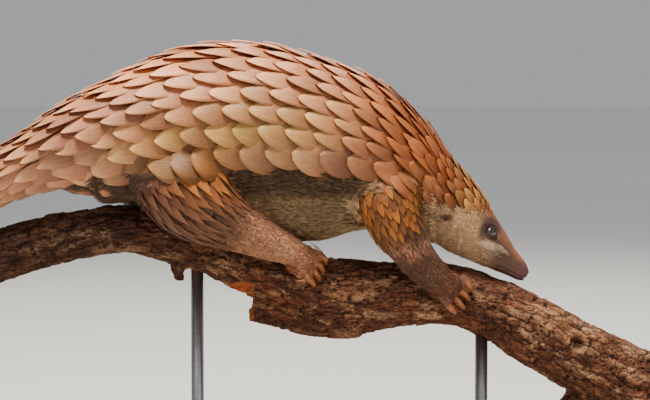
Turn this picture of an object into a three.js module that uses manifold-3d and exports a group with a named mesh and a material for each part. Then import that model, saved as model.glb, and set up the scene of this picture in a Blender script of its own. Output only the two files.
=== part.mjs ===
// A white-bellied tree pangolin, life size and still, walking down a cut length of branch on a plain stand.
// Millimetres, +Z up. The head points to +X, and the animal's right side faces -Y.
// The origin is the centre of the stand base's underside.
import * as THREE from "three";
import Module from "manifold-3d";

const wasm = await Module();
wasm.setup();
const { Manifold, Mesh: SolidMesh } = wasm;

// Driving dimensions
const GAP = 0.3;
const DEG = Math.PI / 180;
const MARGIN = 14;
const RIGHT = -1;
const LEFT = 1;
const SEED = 20;

// The trunk from tail tip to nose, under its scales.
// Each station is x, y, z, half width, rise of the back, drop of the belly.
const TRUNK_STATIONS = [
  [-289, 2, 39, 4, 3.5, 3.5],
  [-294, 4, 30, 8, 5.5, 5.5],
  [-310, 8, 24, 11, 7, 7],
  [-333, 15, 31, 13, 8.5, 8.5],
  [-348, 20, 54, 16, 10, 10],
  [-350, 23, 90, 18.5, 11.5, 11],
  [-338, 22, 129, 20.5, 13, 12.5],
  [-314, 17, 167, 23, 14, 13],
  [-282, 11, 200, 25, 15.5, 14],
  [-246, 5, 227, 27, 17, 15],
  [-210, 1, 249, 30, 19, 17],
  [-174, 0, 268, 34.5, 24, 26],
  [-156, 0, 276.5, 38, 28, 42],
  [-138, 0, 284, 41.5, 32, 54.5],
  [-98, 0, 292, 47, 45, 60],
  [-54, 0, 296, 51, 58, 72],
  [-10, 0, 290, 53, 66, 80],
  [38, 0, 276, 53, 68, 80],
  [74, 0, 262, 50, 65, 66],
  [104, 0, 248, 44, 53, 42],
  [127, 0, 234.5, 35, 40.5, 31],
  [147, 0, 221, 28, 33, 25.5],
  [162, 0, 206.5, 22, 28.5, 19],
  [177, 0, 194.5, 17, 22.5, 13.5],
  [190, 0, 185, 12.5, 16, 10],
  [201, 0, 178, 9, 10.5, 7.5],
  [207, 0, 173.5, 7, 8, 6],
  [211, 0, 170.5, 4.5, 5, 4],
];

// Where the trunk is parted into nodes: x and z near its line
const PARTINGS = {
  tailEnd: [-350, 96],
  tailMid: [-296, 187],
  tailRoot: [-200, 253],
  rump: [-112, 290],
  shoulder: [100, 250],
  nape: [140, 226],
};

// Legs from hip or shoulder to the toes' roots.
// Each station is x, y, z, half width, front (or upper) radius, rear (or sole) radius.
const LEGS = {
  hindleg_right: {
    side: RIGHT,
    rows: 12,
    pitch: 20,
    scaled: 0.62,
    stations: [
      [-70, -22, 270, 22, 36, 34],
      [-62, -33, 250, 23, 38, 36],
      [-46, -40, 232, 21, 31, 32],
      [-26, -41, 218, 17, 21, 23],
      [-8, -38, 208, 14.5, 16, 17],
      [8, -34, 200, 13.5, 14, 13.5],
      [21, -31, 194, 13.5, 12, 11],
      [30, -29, 189, 12.5, 10, 8.5],
      [37, -28, 184, 10, 7, 6.5],
    ],
  },
  hindleg_left: {
    side: LEFT,
    rows: 12,
    pitch: 20,
    scaled: 0.62,
    stations: [
      [-92, 22, 272, 22, 36, 34],
      [-86, 33, 252, 23, 38, 36],
      [-74, 40, 236, 21, 30, 31],
      [-56, 40, 223, 17, 21, 23],
      [-38, 37, 214, 14.5, 16, 16],
      [-22, 33, 208, 13.5, 13.5, 13],
      [-9, 29, 203, 13.5, 11.5, 10.5],
      [1, 27, 198, 12.5, 9.5, 8.5],
      [8, 26, 193, 10, 7, 6.5],
    ],
  },
  foreleg_right: {
    side: RIGHT,
    rows: 12,
    pitch: 17,
    scaled: 0.45,
    stations: [
      [98, -22, 250, 20, 26, 26],
      [100, -34, 236, 20, 25, 24],
      [106, -40, 216, 18, 21, 21],
      [116, -41, 198, 15, 16, 16.5],
      [126, -39, 184, 13.5, 14, 14],
      [136, -36, 174, 13.5, 12.5, 12.5],
      [144, -34, 168, 12.5, 10, 9.5],
      [150, -33, 163, 10.5, 7.5, 6.5],
    ],
  },
  foreleg_left: {
    side: LEFT,
    rows: 12,
    pitch: 17,
    scaled: 0.45,
    stations: [
      [96, 22, 250, 20, 26, 26],
      [98, 34, 236, 20, 25, 24],
      [104, 40, 216, 18, 20, 19],
      [111, 41, 199, 14.5, 15, 14],
      [118, 38, 187, 13, 12.5, 12],
      [125, 35, 180, 13, 11.5, 11],
      [132, 33, 175, 12, 9.5, 9],
      [138, 32, 171, 10, 7, 6.5],
    ],
  },
};

// The head's features: places are x and z as the side view shows them
const EYE = { place: [183.2, 207.5], radius: 4.8, lift: -2.6, lid: 1.3, lidLift: -0.4, lidShape: [1.12, 0.92, 1] };
const EAR = { place: [147, 218], radius: 5.2, rim: 1.5, lift: 0.3, shape: [1.25, 0.85, 1] };
const NOSTRIL = { x: 211.5, y: 2.8, z: 173.5, radius: 1.6, shape: [1, 0.7, 1.5] };
const NOSE_AHEAD = { out: new THREE.Vector3(0.83, 0, -0.55), along: new THREE.Vector3(0.55, 0, 0.83) };
const MOUTH = { front: [216, 166.5], back: [189, 179], width: 1, depth: 1.6, across: 40 };

// Toes of a hind and a fore foot, and the lengths of their claws from the inner toe out
const TOES = {
  hindleg: { spacing: 6.6, radius: 4, reach: 7, claws: [10, 13, 14, 12] },
  foreleg: { spacing: 6.6, radius: 4, reach: 6, claws: [11, 18, 20, 14] },
};
const TOE = { root: 9, sides: 7, splay: 0.12, sizes: [0.8, 1.05, 1, 0.8], knuckle: 0.6 };
const CLAW = { steps: 4, sides: 6, bend: 78 * DEG, share: 0.8, taper: 0.86, width: 0.75 };

// The branch: x, z and radius along its middle
const BRANCH_STATIONS = [
  [-242, 177.5, 22],
  [-210, 187.5, 22],
  [-162, 201, 20],
  [-110, 208.5, 19.5],
  [-78, 203, 19.5],
  [-44, 191, 19],
  [-10, 177.5, 21],
  [30, 165, 23],
  [58, 161, 25],
  [94, 156.5, 27],
  [126, 157.5, 26],
  [158, 154.5, 25],
  [190, 142.5, 26],
  [230, 119.5, 28],
  [270, 97.5, 29],
  [310, 78.5, 30],
  [331, 69, 30],
];
const LIMB_STATIONS = [
  [-8, 148, 14.5],
  [14, 145, 17],
  [44, 143.5, 22],
  [76, 146, 24],
  [112, 152, 22],
];
const SNAG_STATIONS = [
  [-68, 190, 11],
  [-67, 177, 7],
  [-66, 166, 4],
];
const FORK_STATIONS = [
  [284, 92, 22],
  [262, 70, 20],
  [246, 52, 17],
];
const BRANCH_SIDES = 13;
const BRANCH_STEP = 20;
const RIDGES = { broad: 0.035, fine: 0.03, fineTurn: -1.7 };

// The stand
const BASE = { length: 430, width: 190, height: 16, corner: 24, chamfer: 3 };
const ROD = { radius: 5, socket: 10, flange: 13, flangeHeight: 4, sides: 20, places: [-52, 176] };

function randomFrom(seed) {
  let state = seed;
  return () => {
    state = (state * 1664525 + 1013904223) % 4294967296;
    return state / 4294967296;
  };
}

const clamp = (v, low, high) => Math.min(high, Math.max(low, v));
const mix = (a, b, t) => a + (b - a) * t;

// A closed surface as a solid, turned to face out
function toSolid(positions, triangles) {
  const vertProperties = new Float32Array(positions);
  const made = new Manifold(new SolidMesh({ numProp: 3, vertProperties, triVerts: new Uint32Array(triangles) }));
  if (made.volume() >= 0) return made;
  const turned = [];
  for (let i = 0; i < triangles.length; i += 3) turned.push(triangles[i], triangles[i + 2], triangles[i + 1]);
  return new Manifold(new SolidMesh({ numProp: 3, vertProperties, triVerts: new Uint32Array(turned) }));
}

// A three.js geometry, placed by a matrix, as a solid
function solidOf(geometry, matrix = new THREE.Matrix4()) {
  const source = geometry.clone().applyMatrix4(matrix);
  const place = source.getAttribute("position");
  const index = source.index ? [...source.index.array] : [...Array(place.count).keys()];
  const named = new Map();
  const positions = [];
  const renamed = [];
  for (let i = 0; i < place.count; i++) {
    const p = [place.getX(i), place.getY(i), place.getZ(i)];
    const key = p.map((v) => Math.round(v * 1e4)).join();
    if (!named.has(key)) {
      named.set(key, positions.length / 3);
      positions.push(...p);
    }
    renamed.push(named.get(key));
  }
  const triangles = [];
  for (let i = 0; i < index.length; i += 3) {
    const corners = [0, 1, 2].map((k) => renamed[index[i + k]]);
    if (new Set(corners).size === 3) triangles.push(...corners);
  }
  return toSolid(positions, triangles);
}

// A closed body through rings of equally many points, with a fan over each end
function loftSolid(rings) {
  const sides = rings[0].length;
  const positions = rings.flat().flatMap((p) => [p.x, p.y, p.z]);
  const triangles = [];
  for (let r = 0; r + 1 < rings.length; r++) {
    for (let i = 0; i < sides; i++) {
      const a = r * sides + i;
      const b = r * sides + ((i + 1) % sides);
      triangles.push(a, b, a + sides, b, b + sides, a + sides);
    }
  }
  [0, rings.length - 1].forEach((r, end) => {
    const centre = new THREE.Vector3();
    for (const p of rings[r]) centre.addScaledVector(p, 1 / sides);
    const c = positions.length / 3;
    positions.push(centre.x, centre.y, centre.z);
    for (let i = 0; i < sides; i++) {
      const a = r * sides + i;
      const b = r * sides + ((i + 1) % sides);
      triangles.push(...(end === 0 ? [c, b, a] : [c, a, b]));
    }
  });
  return toSolid(positions, triangles);
}

// A tube of flesh along a curve through its stations. Its front is the back of the trunk and the shin of a leg.
const SPAN_DIVISIONS = 40;
const WHERE_STEP = 0.5;
class Tube {
  constructor(stations) {
    this.stations = stations;
    const points = stations.map(([x, y, z]) => new THREE.Vector3(x, y, z));
    this.curve = new THREE.CatmullRomCurve3(points, false, "centripetal");
    this.curve.arcLengthDivisions = SPAN_DIVISIONS * (stations.length - 1);
    this.length = this.curve.getLength();
    const lengths = this.curve.getLengths();
    this.marks = stations.map((_, i) => lengths[SPAN_DIVISIONS * i]);
  }

  // Half width, front radius and rear radius at a distance along the tube
  radii(s) {
    const { marks, stations } = this;
    let i = 0;
    while (i < marks.length - 2 && s > marks[i + 1]) i++;
    const t = clamp((s - marks[i]) / (marks[i + 1] - marks[i]), 0, 1);
    const four = [i - 1, i, i + 1, i + 2].map((k) => stations[clamp(k, 0, stations.length - 1)]);
    return [3, 4, 5].map((k) => {
      const [p0, p1, p2, p3] = four.map((station) => station[k]);
      const bend = 2 * p0 - 5 * p1 + 4 * p2 - p3;
      const twist = 3 * p1 - p0 - 3 * p2 + p3;
      return 0.5 * (2 * p1 + (p2 - p0) * t + bend * t * t + twist * t * t * t);
    });
  }

  frame(s) {
    const u = clamp(s / this.length, 0, 1);
    const centre = this.curve.getPointAt(u);
    const along = this.curve.getTangentAt(u);
    const side = new THREE.Vector3(0, 1, 0).addScaledVector(along, -along.y).normalize();
    const front = new THREE.Vector3().crossVectors(along, side);
    return { centre, along, side, front };
  }

  // The surface point at an angle from the front, towards +Y, lifted off the flesh by a height
  point(s, angle, lift = 0) {
    const { centre, side, front } = this.frame(s);
    const [wide, fore, rear] = this.radii(s);
    const [c, w] = [Math.cos(angle), Math.sin(angle)];
    const depth = c >= 0 ? fore : rear;
    const out = front.clone().multiplyScalar(c / depth);
    out.addScaledVector(side, w / wide).normalize();
    return centre
      .addScaledVector(front, c * depth)
      .addScaledVector(side, w * wide)
      .addScaledVector(out, lift);
  }

  // The distance along the tube where its line passes nearest to x and z
  where([x, z]) {
    let best = 0;
    let least = Infinity;
    for (let s = 0; s <= this.length; s += WHERE_STEP) {
      const p = this.frame(s).centre;
      const d = Math.hypot(p.x - x, p.z - z);
      if (d < least) [best, least] = [s, d];
    }
    return best;
  }
}

// Each scale's form: where its shoulders are along its sides, how full and high they stand, and how far its edge
// hangs over
const SCALE = { shoulder: 0.6, fullness: 1.5, shoulderHeight: 0.88, overhang: 1.2, variation: 0.12 };

// A length of tube in a coat of scales, in rings of diamonds, each set half a place off the ring before it.
// A scale lifts its tip over the roots of the next, and where it has no step the surface is bare skin.
function scaledTube(tube, { from, to, rows, pitch, angle, step, lift = 0, towardsTip = -1, bare = () => false }) {
  const random = randomFrom(SEED + rows);
  const start = towardsTip < 0 ? to : from;
  const reach = to - from;
  const marks = [0];
  while (marks.at(-1) < reach) marks.push(marks.at(-1) + pitch(start + towardsTip * marks.at(-1)) / 2);
  const last = marks.length - 1;
  const places = marks.map((m) => start + (towardsTip * m * reach) / marks[last]);
  const positions = [];
  const triangles = [];
  const foot = new Map();
  const tip = new Map();
  const edge = new Map();
  const key = (k, row) => `${k},${((row % rows) + rows) % rows}`;
  const add = (s, row, height) => {
    const p = tube.point(s, angle(row, s), lift + height);
    positions.push(p.x, p.y, p.z);
    return positions.length / 3 - 1;
  };

  places.forEach((s, k) => {
    for (let row = k % 2; row < rows; row += 2) {
      foot.set(key(k, row), add(s, row, 0));
      const height = step(row, s) * (1 + (2 * random() - 1) * SCALE.variation);
      if (k === 0 || k === last || height <= 0 || bare(tube.point(s, angle(row, s)))) continue;
      const hang = towardsTip * SCALE.overhang;
      tip.set(key(k, row), add(s + hang, row, height));
      const shoulder = mix(places[k - 1], s, SCALE.shoulder);
      for (const turn of [-1, 1]) {
        const place = row + turn * (1 - SCALE.shoulder) * SCALE.fullness;
        const under = add(shoulder, place, 0);
        const over = add(shoulder + hang / 2, place, height * SCALE.shoulderHeight);
        edge.set(`${key(k, row)},${turn}`, { under, over });
      }
    }
  });

  const face = (...corners) => {
    const kept = corners.filter((c) => c !== undefined);
    for (let i = 1; i + 1 < kept.length; i++) triangles.push(kept[0], kept[i], kept[i + 1]);
  };
  for (let k = 1; k <= last + 1; k++) {
    for (let row = k % 2; row < rows; row += 2) {
      const left = foot.get(key(k - 1, row - 1));
      const right = foot.get(key(k - 1, row + 1));
      const notchLeft = edge.get(`${key(k - 1, row - 1)},1`)?.under;
      const notchRight = edge.get(`${key(k - 1, row + 1)},-1`)?.under;
      if (k > 1) {
        const top = foot.get(key(k - 2, row));
        if (notchLeft === undefined) face(notchRight, top, left, right);
        else face(notchLeft, left, right, notchRight, top);
      }
      if (k > last) continue;
      const name = key(k, row);
      const end = foot.get(name);
      if (!tip.has(name)) {
        face(left, end, right);
        continue;
      }
      const [before, after] = [-1, 1].map((turn) => edge.get(`${name},${turn}`));
      const point = tip.get(name);
      face(left, before.over, after.over, right);
      face(before.over, point, after.over);
      face(left, before.under, before.over);
      face(before.under, end, point, before.over);
      face(right, after.over, after.under);
      face(after.under, after.over, point, end);
    }
  }
  for (const k of [0, last]) {
    const { centre } = tube.frame(places[k]);
    positions.push(centre.x, centre.y, centre.z);
    const middle = positions.length / 3 - 1;
    for (let row = k % 2; row < rows; row += 2) {
      const [a, b] = [foot.get(key(k, row)), foot.get(key(k, row + 2))];
      triangles.push(...(k === 0 ? [middle, a, b] : [middle, b, a]));
    }
  }
  return toSolid(positions, triangles);
}

const trunk = new Tube(TRUNK_STATIONS);
const at = Object.fromEntries(Object.entries(PARTINGS).map(([name, place]) => [name, trunk.where(place)]));

// Angles of rows that are close together over the scaled back and wider apart over the bare belly
function backRows(rows, scaled, reach) {
  return (row, s) => {
    const half = rows / 2;
    const wrapped = row > half ? row - rows : row;
    const n = Math.abs(wrapped);
    const edge = reach(s);
    const size = n <= scaled ? (n * edge) / scaled : edge + ((Math.PI - edge) * (n - scaled)) / (half - scaled);
    return Math.sign(wrapped) * size;
  };
}
const roundRows = (rows) => (row) => (row * 2 * Math.PI) / rows;
const rowsOut = (row, rows) => Math.min(row, rows - row);

// Each coat's rows round the body, its scales' spacing along it, and how high they stand.
// The tail is scaled all round, apart from its very tip and the underside of its root.
const TAIL_ROWS = 12;
const TAIL_PITCH = [13, 25];
const TAIL_STEP = [1.3, 2.8];
const TAIL_BARE = { tip: 12, root: 40, rows: 3 };
const tailShare = (s) => clamp(s / at.tailRoot, 0, 1);
const tailIsBare = (row, s) =>
  s < TAIL_BARE.tip || (s > at.rump - TAIL_BARE.root && rowsOut(row, TAIL_ROWS) > TAIL_BARE.rows);
const tailCoat = {
  rows: TAIL_ROWS,
  pitch: (s) => mix(...TAIL_PITCH, tailShare(s)),
  angle: roundRows(TAIL_ROWS),
  step: (row, s) => (tailIsBare(row, s) ? 0 : mix(...TAIL_STEP, tailShare(s))),
};

const TORSO_ROWS = 24;
const TORSO_SCALED = 8;
const TORSO_PITCH = 23;
const TORSO_STEP = 3;
const TORSO_REACH = [128 * DEG, 104 * DEG];
const torsoReach = (s) => mix(...TORSO_REACH, clamp((s - at.rump) / (at.shoulder - at.rump), 0, 1));
const torsoCoat = {
  rows: TORSO_ROWS,
  pitch: () => TORSO_PITCH,
  angle: backRows(TORSO_ROWS, TORSO_SCALED, torsoReach),
  step: (row) => (rowsOut(row, TORSO_ROWS) <= TORSO_SCALED ? TORSO_STEP : 0),
};

const NECK_ROWS = 24;
const NECK_SCALED = 8;
const NECK_PITCH = 16;
const NECK_STEP = 2.3;
const NECK_REACH = 100 * DEG;
const neckCoat = {
  rows: NECK_ROWS,
  pitch: () => NECK_PITCH,
  angle: backRows(NECK_ROWS, NECK_SCALED, () => NECK_REACH),
  step: (row) => (rowsOut(row, NECK_ROWS) <= NECK_SCALED ? NECK_STEP : 0),
};

// The scales of the crown narrow to a strip on the forehead
const HEAD_ROWS = 22;
const HEAD_PITCH = [13, 8];
const HEAD_STEP = 1.5;
const CROWN = { reach: [92 * DEG, 22 * DEG], narrowed: 0.62, end: 0.7 };
const headAlong = (s) => (s - at.nape) / (trunk.length - at.nape);
const crownReach = (s) => mix(...CROWN.reach, clamp(headAlong(s) / CROWN.narrowed, 0, 1));
const headAngle = roundRows(HEAD_ROWS);
const onCrown = (row, s) => headAngle(rowsOut(row, HEAD_ROWS)) <= crownReach(s) && headAlong(s) < CROWN.end;
const headCoat = {
  rows: HEAD_ROWS,
  pitch: (s) => mix(...HEAD_PITCH, headAlong(s)),
  angle: headAngle,
  step: (row, s) => (onCrown(row, s) ? HEAD_STEP : 0),
};

const group = new THREE.Group();
const COLOURS = {
  scales: { color: 0xb28a68, roughness: 0.6 },
  fur: { color: 0x8a6a55, roughness: 0.9 },
  claw: { color: 0xa3764f, roughness: 0.45 },
  eye: { color: 0x14100e, roughness: 0.1 },
  bark: { color: 0x7a5343, roughness: 0.95 },
  wood: { color: 0x4b3a2e, roughness: 0.5 },
  steel: { color: 0x8f9194, roughness: 0.35, metalness: 0.9 },
};

function addNode(name, solid, look) {
  const [largest] = solid.decompose().sort((a, b) => b.volume() - a.volume());
  const data = largest.getMesh();
  const positions = new Float32Array(data.numVert * 3);
  for (let i = 0; i < data.numVert; i++) {
    const first = i * data.numProp;
    positions.set(data.vertProperties.subarray(first, first + 3), i * 3);
  }
  const geometry = new THREE.BufferGeometry();
  geometry.setAttribute("position", new THREE.BufferAttribute(positions, 3));
  geometry.setIndex(new THREE.BufferAttribute(data.triVerts, 1));
  const mesh = new THREE.Mesh(geometry, new THREE.MeshStandardMaterial(COLOURS[look]));
  mesh.name = name;
  group.add(mesh);
}

// The branch with its broken limb, snag and lower fork, fused
function limb(stations, grow, wave) {
  const points = stations.map(([x, z]) => new THREE.Vector3(x, 0, z));
  const curve = new THREE.CatmullRomCurve3(points, false, "centripetal");
  const count = Math.max(2, Math.round(curve.getLength() / BRANCH_STEP));
  const rings = [];
  for (let i = 0; i <= count; i++) {
    const u = i / count;
    const centre = curve.getPoint(u);
    const along = curve.getTangent(u);
    const side = new THREE.Vector3(0, 1, 0);
    const up = new THREE.Vector3().crossVectors(along, side);
    const place = u * (stations.length - 1);
    const first = Math.min(stations.length - 2, Math.floor(place));
    const radius = mix(stations[first][2], stations[first + 1][2], place - first);
    const ring = [];
    for (let k = 0; k < BRANCH_SIDES; k++) {
      const a = (k / BRANCH_SIDES) * 2 * Math.PI;
      const broad = RIDGES.broad * Math.sin(3 * a + wave * i);
      const fine = RIDGES.fine * Math.sin(5 * a + RIDGES.fineTurn * wave * i + 1);
      const r = radius * (1 + broad + fine) + grow;
      const p = centre.clone().addScaledVector(up, r * Math.cos(a));
      ring.push(p.addScaledVector(side, r * Math.sin(a)));
    }
    rings.push(ring);
  }
  return loftSolid(rings);
}

const branchGrown = (grow) =>
  Manifold.union([
    limb(BRANCH_STATIONS, grow, 1.3),
    limb(LIMB_STATIONS, grow, 0.9),
    limb(SNAG_STATIONS, grow, 1),
    limb(FORK_STATIONS, grow, 0.7),
  ]);

const upright = new THREE.Matrix4().makeRotationX(Math.PI / 2);
const branchUnder = (x) => {
  const points = BRANCH_STATIONS.map(([px, pz, r]) => [px, pz - r]);
  const next = points.findIndex(([px]) => px > x);
  const [[x0, z0], [x1, z1]] = [points[next - 1], points[next]];
  return mix(z0, z1, (x - x0) / (x1 - x0));
};
const rodTop = (x) => branchUnder(x) + ROD.socket;
const rodSolid = (x, grow) => {
  const profile = [
    [0, BASE.height + GAP - grow],
    [ROD.flange + grow, BASE.height + GAP - grow],
    [ROD.flange + grow, BASE.height + GAP + ROD.flangeHeight + grow],
    [ROD.radius + grow, BASE.height + GAP + ROD.flangeHeight + grow],
    [ROD.radius + grow, rodTop(x) + grow],
    [0, rodTop(x) + grow],
  ].map(([r, z]) => new THREE.Vector2(r, z));
  const matrix = new THREE.Matrix4().makeTranslation(x, 0, 0).multiply(upright);
  return solidOf(new THREE.LatheGeometry(profile, ROD.sides), matrix);
};
const branch = ROD.places.reduce((left, x) => left.subtract(rodSolid(x, GAP)), branchGrown(0));
const branchRoom = branchGrown(GAP);

// What stands inside a leg, where the trunk stays smooth so that the leg lies close on it
const legTubes = Object.values(LEGS).map((leg) => new Tube(leg.stations));
const UNDER_LEG = { share: 0.6, step: 6, reach: 1.4 };
function underLeg(p) {
  return legTubes.some((tube) => {
    for (let s = 0; s < tube.length * UNDER_LEG.share; s += UNDER_LEG.step) {
      const { centre, along, side, front } = tube.frame(s);
      const [wide, fore, rear] = tube.radii(s);
      const from = p.clone().sub(centre);
      const f = from.dot(front);
      const reach = Math.hypot(from.dot(side) / wide, f / (f > 0 ? fore : rear));
      if (reach < UNDER_LEG.reach && Math.abs(from.dot(along)) < UNDER_LEG.step) return true;
    }
    return false;
  });
}

// The part of a solid ahead of the trunk's cross-section at s, or behind it
function trimmed(solid, s, ahead) {
  const { centre, along } = trunk.frame(s);
  const normal = along.clone().multiplyScalar(ahead ? 1 : -1);
  return solid.trimByPlane([normal.x, normal.y, normal.z], normal.dot(centre));
}

// A length of the trunk between two partings, half a gap short of each
function section(coat, rear, front, lift = 0) {
  const from = rear > 0 ? rear - MARGIN : 0;
  const to = Math.min(front + MARGIN, trunk.length);
  let solid = scaledTube(trunk, { ...coat, from, to, lift, bare: underLeg });
  if (rear > 0) solid = trimmed(solid, rear + GAP / 2 - lift, true);
  if (front < trunk.length) solid = trimmed(solid, front - GAP / 2 + lift, false);
  return solid;
}
const SECTIONS = {
  tail_tip: [tailCoat, 0, at.tailEnd],
  tail_end: [tailCoat, at.tailEnd, at.tailMid],
  tail_middle: [tailCoat, at.tailMid, at.tailRoot],
  tail_root: [tailCoat, at.tailRoot, at.rump],
  torso: [torsoCoat, at.rump, at.shoulder],
  neck: [neckCoat, at.shoulder, at.nape],
  head: [headCoat, at.nape, trunk.length],
};

// The room that the trunk takes from a leg: the trunk lifted by the gap, and moved by it to clear its scales' steps
const STEP_SHIFTS = [
  [-GAP, 0, 0],
  [GAP, 0, 0],
  [0, 0, -GAP],
  [0, 0, GAP],
];
const trunkRoom = Manifold.union(
  ["tail_root", "torso", "neck", "head"].flatMap((name) => {
    const own = section(...SECTIONS[name]);
    return [section(...SECTIONS[name], GAP), ...STEP_SHIFTS.map((shift) => own.translate(shift))];
  }),
);

function clawSolid(root, ahead, down, length, radius) {
  const rings = [];
  const across = new THREE.Vector3().crossVectors(ahead, down).normalize();
  const size = length / CLAW.bend;
  for (let i = 0; i <= CLAW.steps; i++) {
    const t = i / CLAW.steps;
    const turn = CLAW.bend * t;
    const centre = root
      .clone()
      .addScaledVector(ahead, size * Math.sin(turn))
      .addScaledVector(down, size * (1 - Math.cos(turn)));
    const outward = ahead.clone().multiplyScalar(Math.sin(turn)).addScaledVector(down, -Math.cos(turn));
    const r = radius * (1 - CLAW.taper * t * t);
    const ring = [];
    for (let k = 0; k < CLAW.sides; k++) {
      const a = (k / CLAW.sides) * 2 * Math.PI;
      const p = centre.clone().addScaledVector(across, CLAW.width * r * Math.cos(a));
      ring.push(p.addScaledVector(outward, r * Math.sin(a)));
    }
    rings.push(ring);
  }
  return loftSolid(rings);
}

function branchMiddle(x) {
  const next = clamp(
    BRANCH_STATIONS.findIndex(([px]) => px > x),
    1,
    BRANCH_STATIONS.length - 1,
  );
  const [[x0, z0], [x1, z1]] = [BRANCH_STATIONS[next - 1], BRANCH_STATIONS[next]];
  return new THREE.Vector3(x, 0, mix(z0, z1, (x - x0) / (x1 - x0)));
}

const LEG_COAT = { reach: 115 * DEG, step: 2 };
for (const [name, leg] of Object.entries(LEGS)) {
  const tube = new Tube(leg.stations);
  const kind = name.split("_")[0];
  const toes = TOES[kind];
  const outer = leg.side * 90 * DEG;
  const legStep = (row, s) => {
    const a = roundRows(leg.rows)(row);
    const off = Math.abs(Math.atan2(Math.sin(a - outer), Math.cos(a - outer)));
    return s < leg.scaled * tube.length && off < LEG_COAT.reach ? LEG_COAT.step : 0;
  };
  const limbSolid = scaledTube(tube, {
    from: 0,
    to: tube.length,
    rows: leg.rows,
    pitch: () => leg.pitch,
    angle: roundRows(leg.rows),
    step: legStep,
    towardsTip: 1,
  });
  const foot = tube.frame(tube.length);
  const up = foot.centre.clone().sub(branchMiddle(foot.centre.x));
  const inward = new THREE.Vector3().crossVectors(foot.along, up).multiplyScalar(-leg.side).normalize();
  if (inward.y * leg.side > 0) inward.negate();
  const pieces = [limbSolid];
  const claws = [];
  toes.claws.forEach((length, i) => {
    const place = i - (toes.claws.length - 1) / 2;
    const root = foot.centre.clone().addScaledVector(inward, -place * toes.spacing);
    const ahead = foot.along.clone().addScaledVector(inward, -TOE.splay * place).normalize();
    const out = root.clone().sub(branchMiddle(root.x));
    const down = out.addScaledVector(ahead, -out.dot(ahead)).normalize().negate();
    const side = new THREE.Vector3().crossVectors(ahead, down);
    const rings = [-TOE.root, 0, TOE.knuckle * toes.reach, toes.reach].map((d, k) => {
      const r = toes.radius * TOE.sizes[k];
      return Array.from({ length: TOE.sides }, (_, n) => {
        const a = (n / TOE.sides) * 2 * Math.PI;
        const p = root.clone().addScaledVector(ahead, d);
        return p.addScaledVector(side, r * Math.cos(a)).addScaledVector(down, r * Math.sin(a));
      });
    });
    pieces.push(loftSolid(rings));
    const clawRoot = root.clone().addScaledVector(ahead, toes.reach + GAP);
    claws.push(clawSolid(clawRoot, ahead, down, length, toes.radius * CLAW.share));
  });
  const whole = Manifold.union(pieces).subtract(trunkRoom).subtract(branchRoom);
  addNode(name, whole, "scales");
  claws.forEach((claw, i) => addNode(`claw_${name}_${i + 1}`, claw.subtract(branchRoom), "claw"));
}

// The point and outward direction on one side of the head whose side view shows it at x and z
const SEARCH = { along: 0.5, round: 2 * DEG, outward: 1e-3 };
function onHead([x, z], side) {
  let best;
  let least = Infinity;
  for (let s = at.nape; s <= trunk.length; s += SEARCH.along) {
    for (let turn = 0; turn <= Math.PI; turn += SEARCH.round) {
      const p = trunk.point(s, side * turn);
      const d = Math.hypot(p.x - x, p.z - z) - SEARCH.outward * Math.abs(p.y);
      if (d < least) [best, least] = [[s, side * turn], d];
    }
  }
  const [s, angle] = best;
  const point = trunk.point(s, angle);
  const along = trunk.point(s + 1, angle).sub(point);
  const round = trunk.point(s, angle + SEARCH.round).sub(point);
  const out = new THREE.Vector3().crossVectors(along, round).normalize();
  if (out.y * side < 0) out.negate();
  return { point, out, along: along.normalize() };
}

// Places a form made at the origin, facing +Z with +X ahead, on the head
function onSpot({ point, out, along }, lift, scale = [1, 1, 1]) {
  const ahead = along.clone().addScaledVector(out, -along.dot(out)).normalize();
  const basis = new THREE.Matrix4().makeBasis(ahead, new THREE.Vector3().crossVectors(out, ahead), out);
  basis.setPosition(point.clone().addScaledVector(out, lift));
  return basis.multiply(new THREE.Matrix4().makeScale(...scale));
}
const BALL_SEGMENTS = [12, 7];
const HOOP_SEGMENTS = [5, 13];
const ball = (radius, spot, lift, scale) =>
  solidOf(new THREE.SphereGeometry(radius, ...BALL_SEGMENTS), onSpot(spot, lift, scale));
const hoop = (radius, thick, spot, lift, scale) =>
  solidOf(new THREE.TorusGeometry(radius, thick, ...HOOP_SEGMENTS), onSpot(spot, lift, scale));

// The head: brow and lids round each eye, the rim and cup of each ear, nostrils and the line of the mouth
let head = section(...SECTIONS.head);
const added = [];
const taken = [];
for (const side of [RIGHT, LEFT]) {
  const name = side === RIGHT ? "right" : "left";
  const eye = onHead(EYE.place, side);
  added.push(hoop(EYE.radius, EYE.lid, eye, EYE.lidLift, EYE.lidShape));
  taken.push(ball(EYE.radius + GAP, eye, EYE.lift));
  addNode(`eye_${name}`, ball(EYE.radius, eye, EYE.lift), "eye");
  const ear = onHead(EAR.place, side);
  taken.push(ball(EAR.radius, ear, 0, EAR.shape));
  taken.push(hoop(EAR.radius, EAR.rim + GAP, ear, EAR.lift, EAR.shape));
  addNode(`ear_${name}`, hoop(EAR.radius, EAR.rim, ear, EAR.lift, EAR.shape), "fur");
  const nostril = { point: new THREE.Vector3(NOSTRIL.x, side * NOSTRIL.y, NOSTRIL.z), ...NOSE_AHEAD };
  taken.push(ball(NOSTRIL.radius, nostril, 0, NOSTRIL.shape));
}
const mouthFront = new THREE.Vector3(MOUTH.front[0], 0, MOUTH.front[1]);
const mouthBack = new THREE.Vector3(MOUTH.back[0], 0, MOUTH.back[1]);
const mouthAlong = mouthFront.clone().sub(mouthBack);
const slit = new THREE.BoxGeometry(mouthAlong.length(), MOUTH.across, MOUTH.width);
const slitTurn = new THREE.Matrix4().makeRotationY(Math.atan2(-mouthAlong.z, mouthAlong.x));
slitTurn.setPosition(mouthBack.clone().add(mouthFront).multiplyScalar(0.5));
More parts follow.
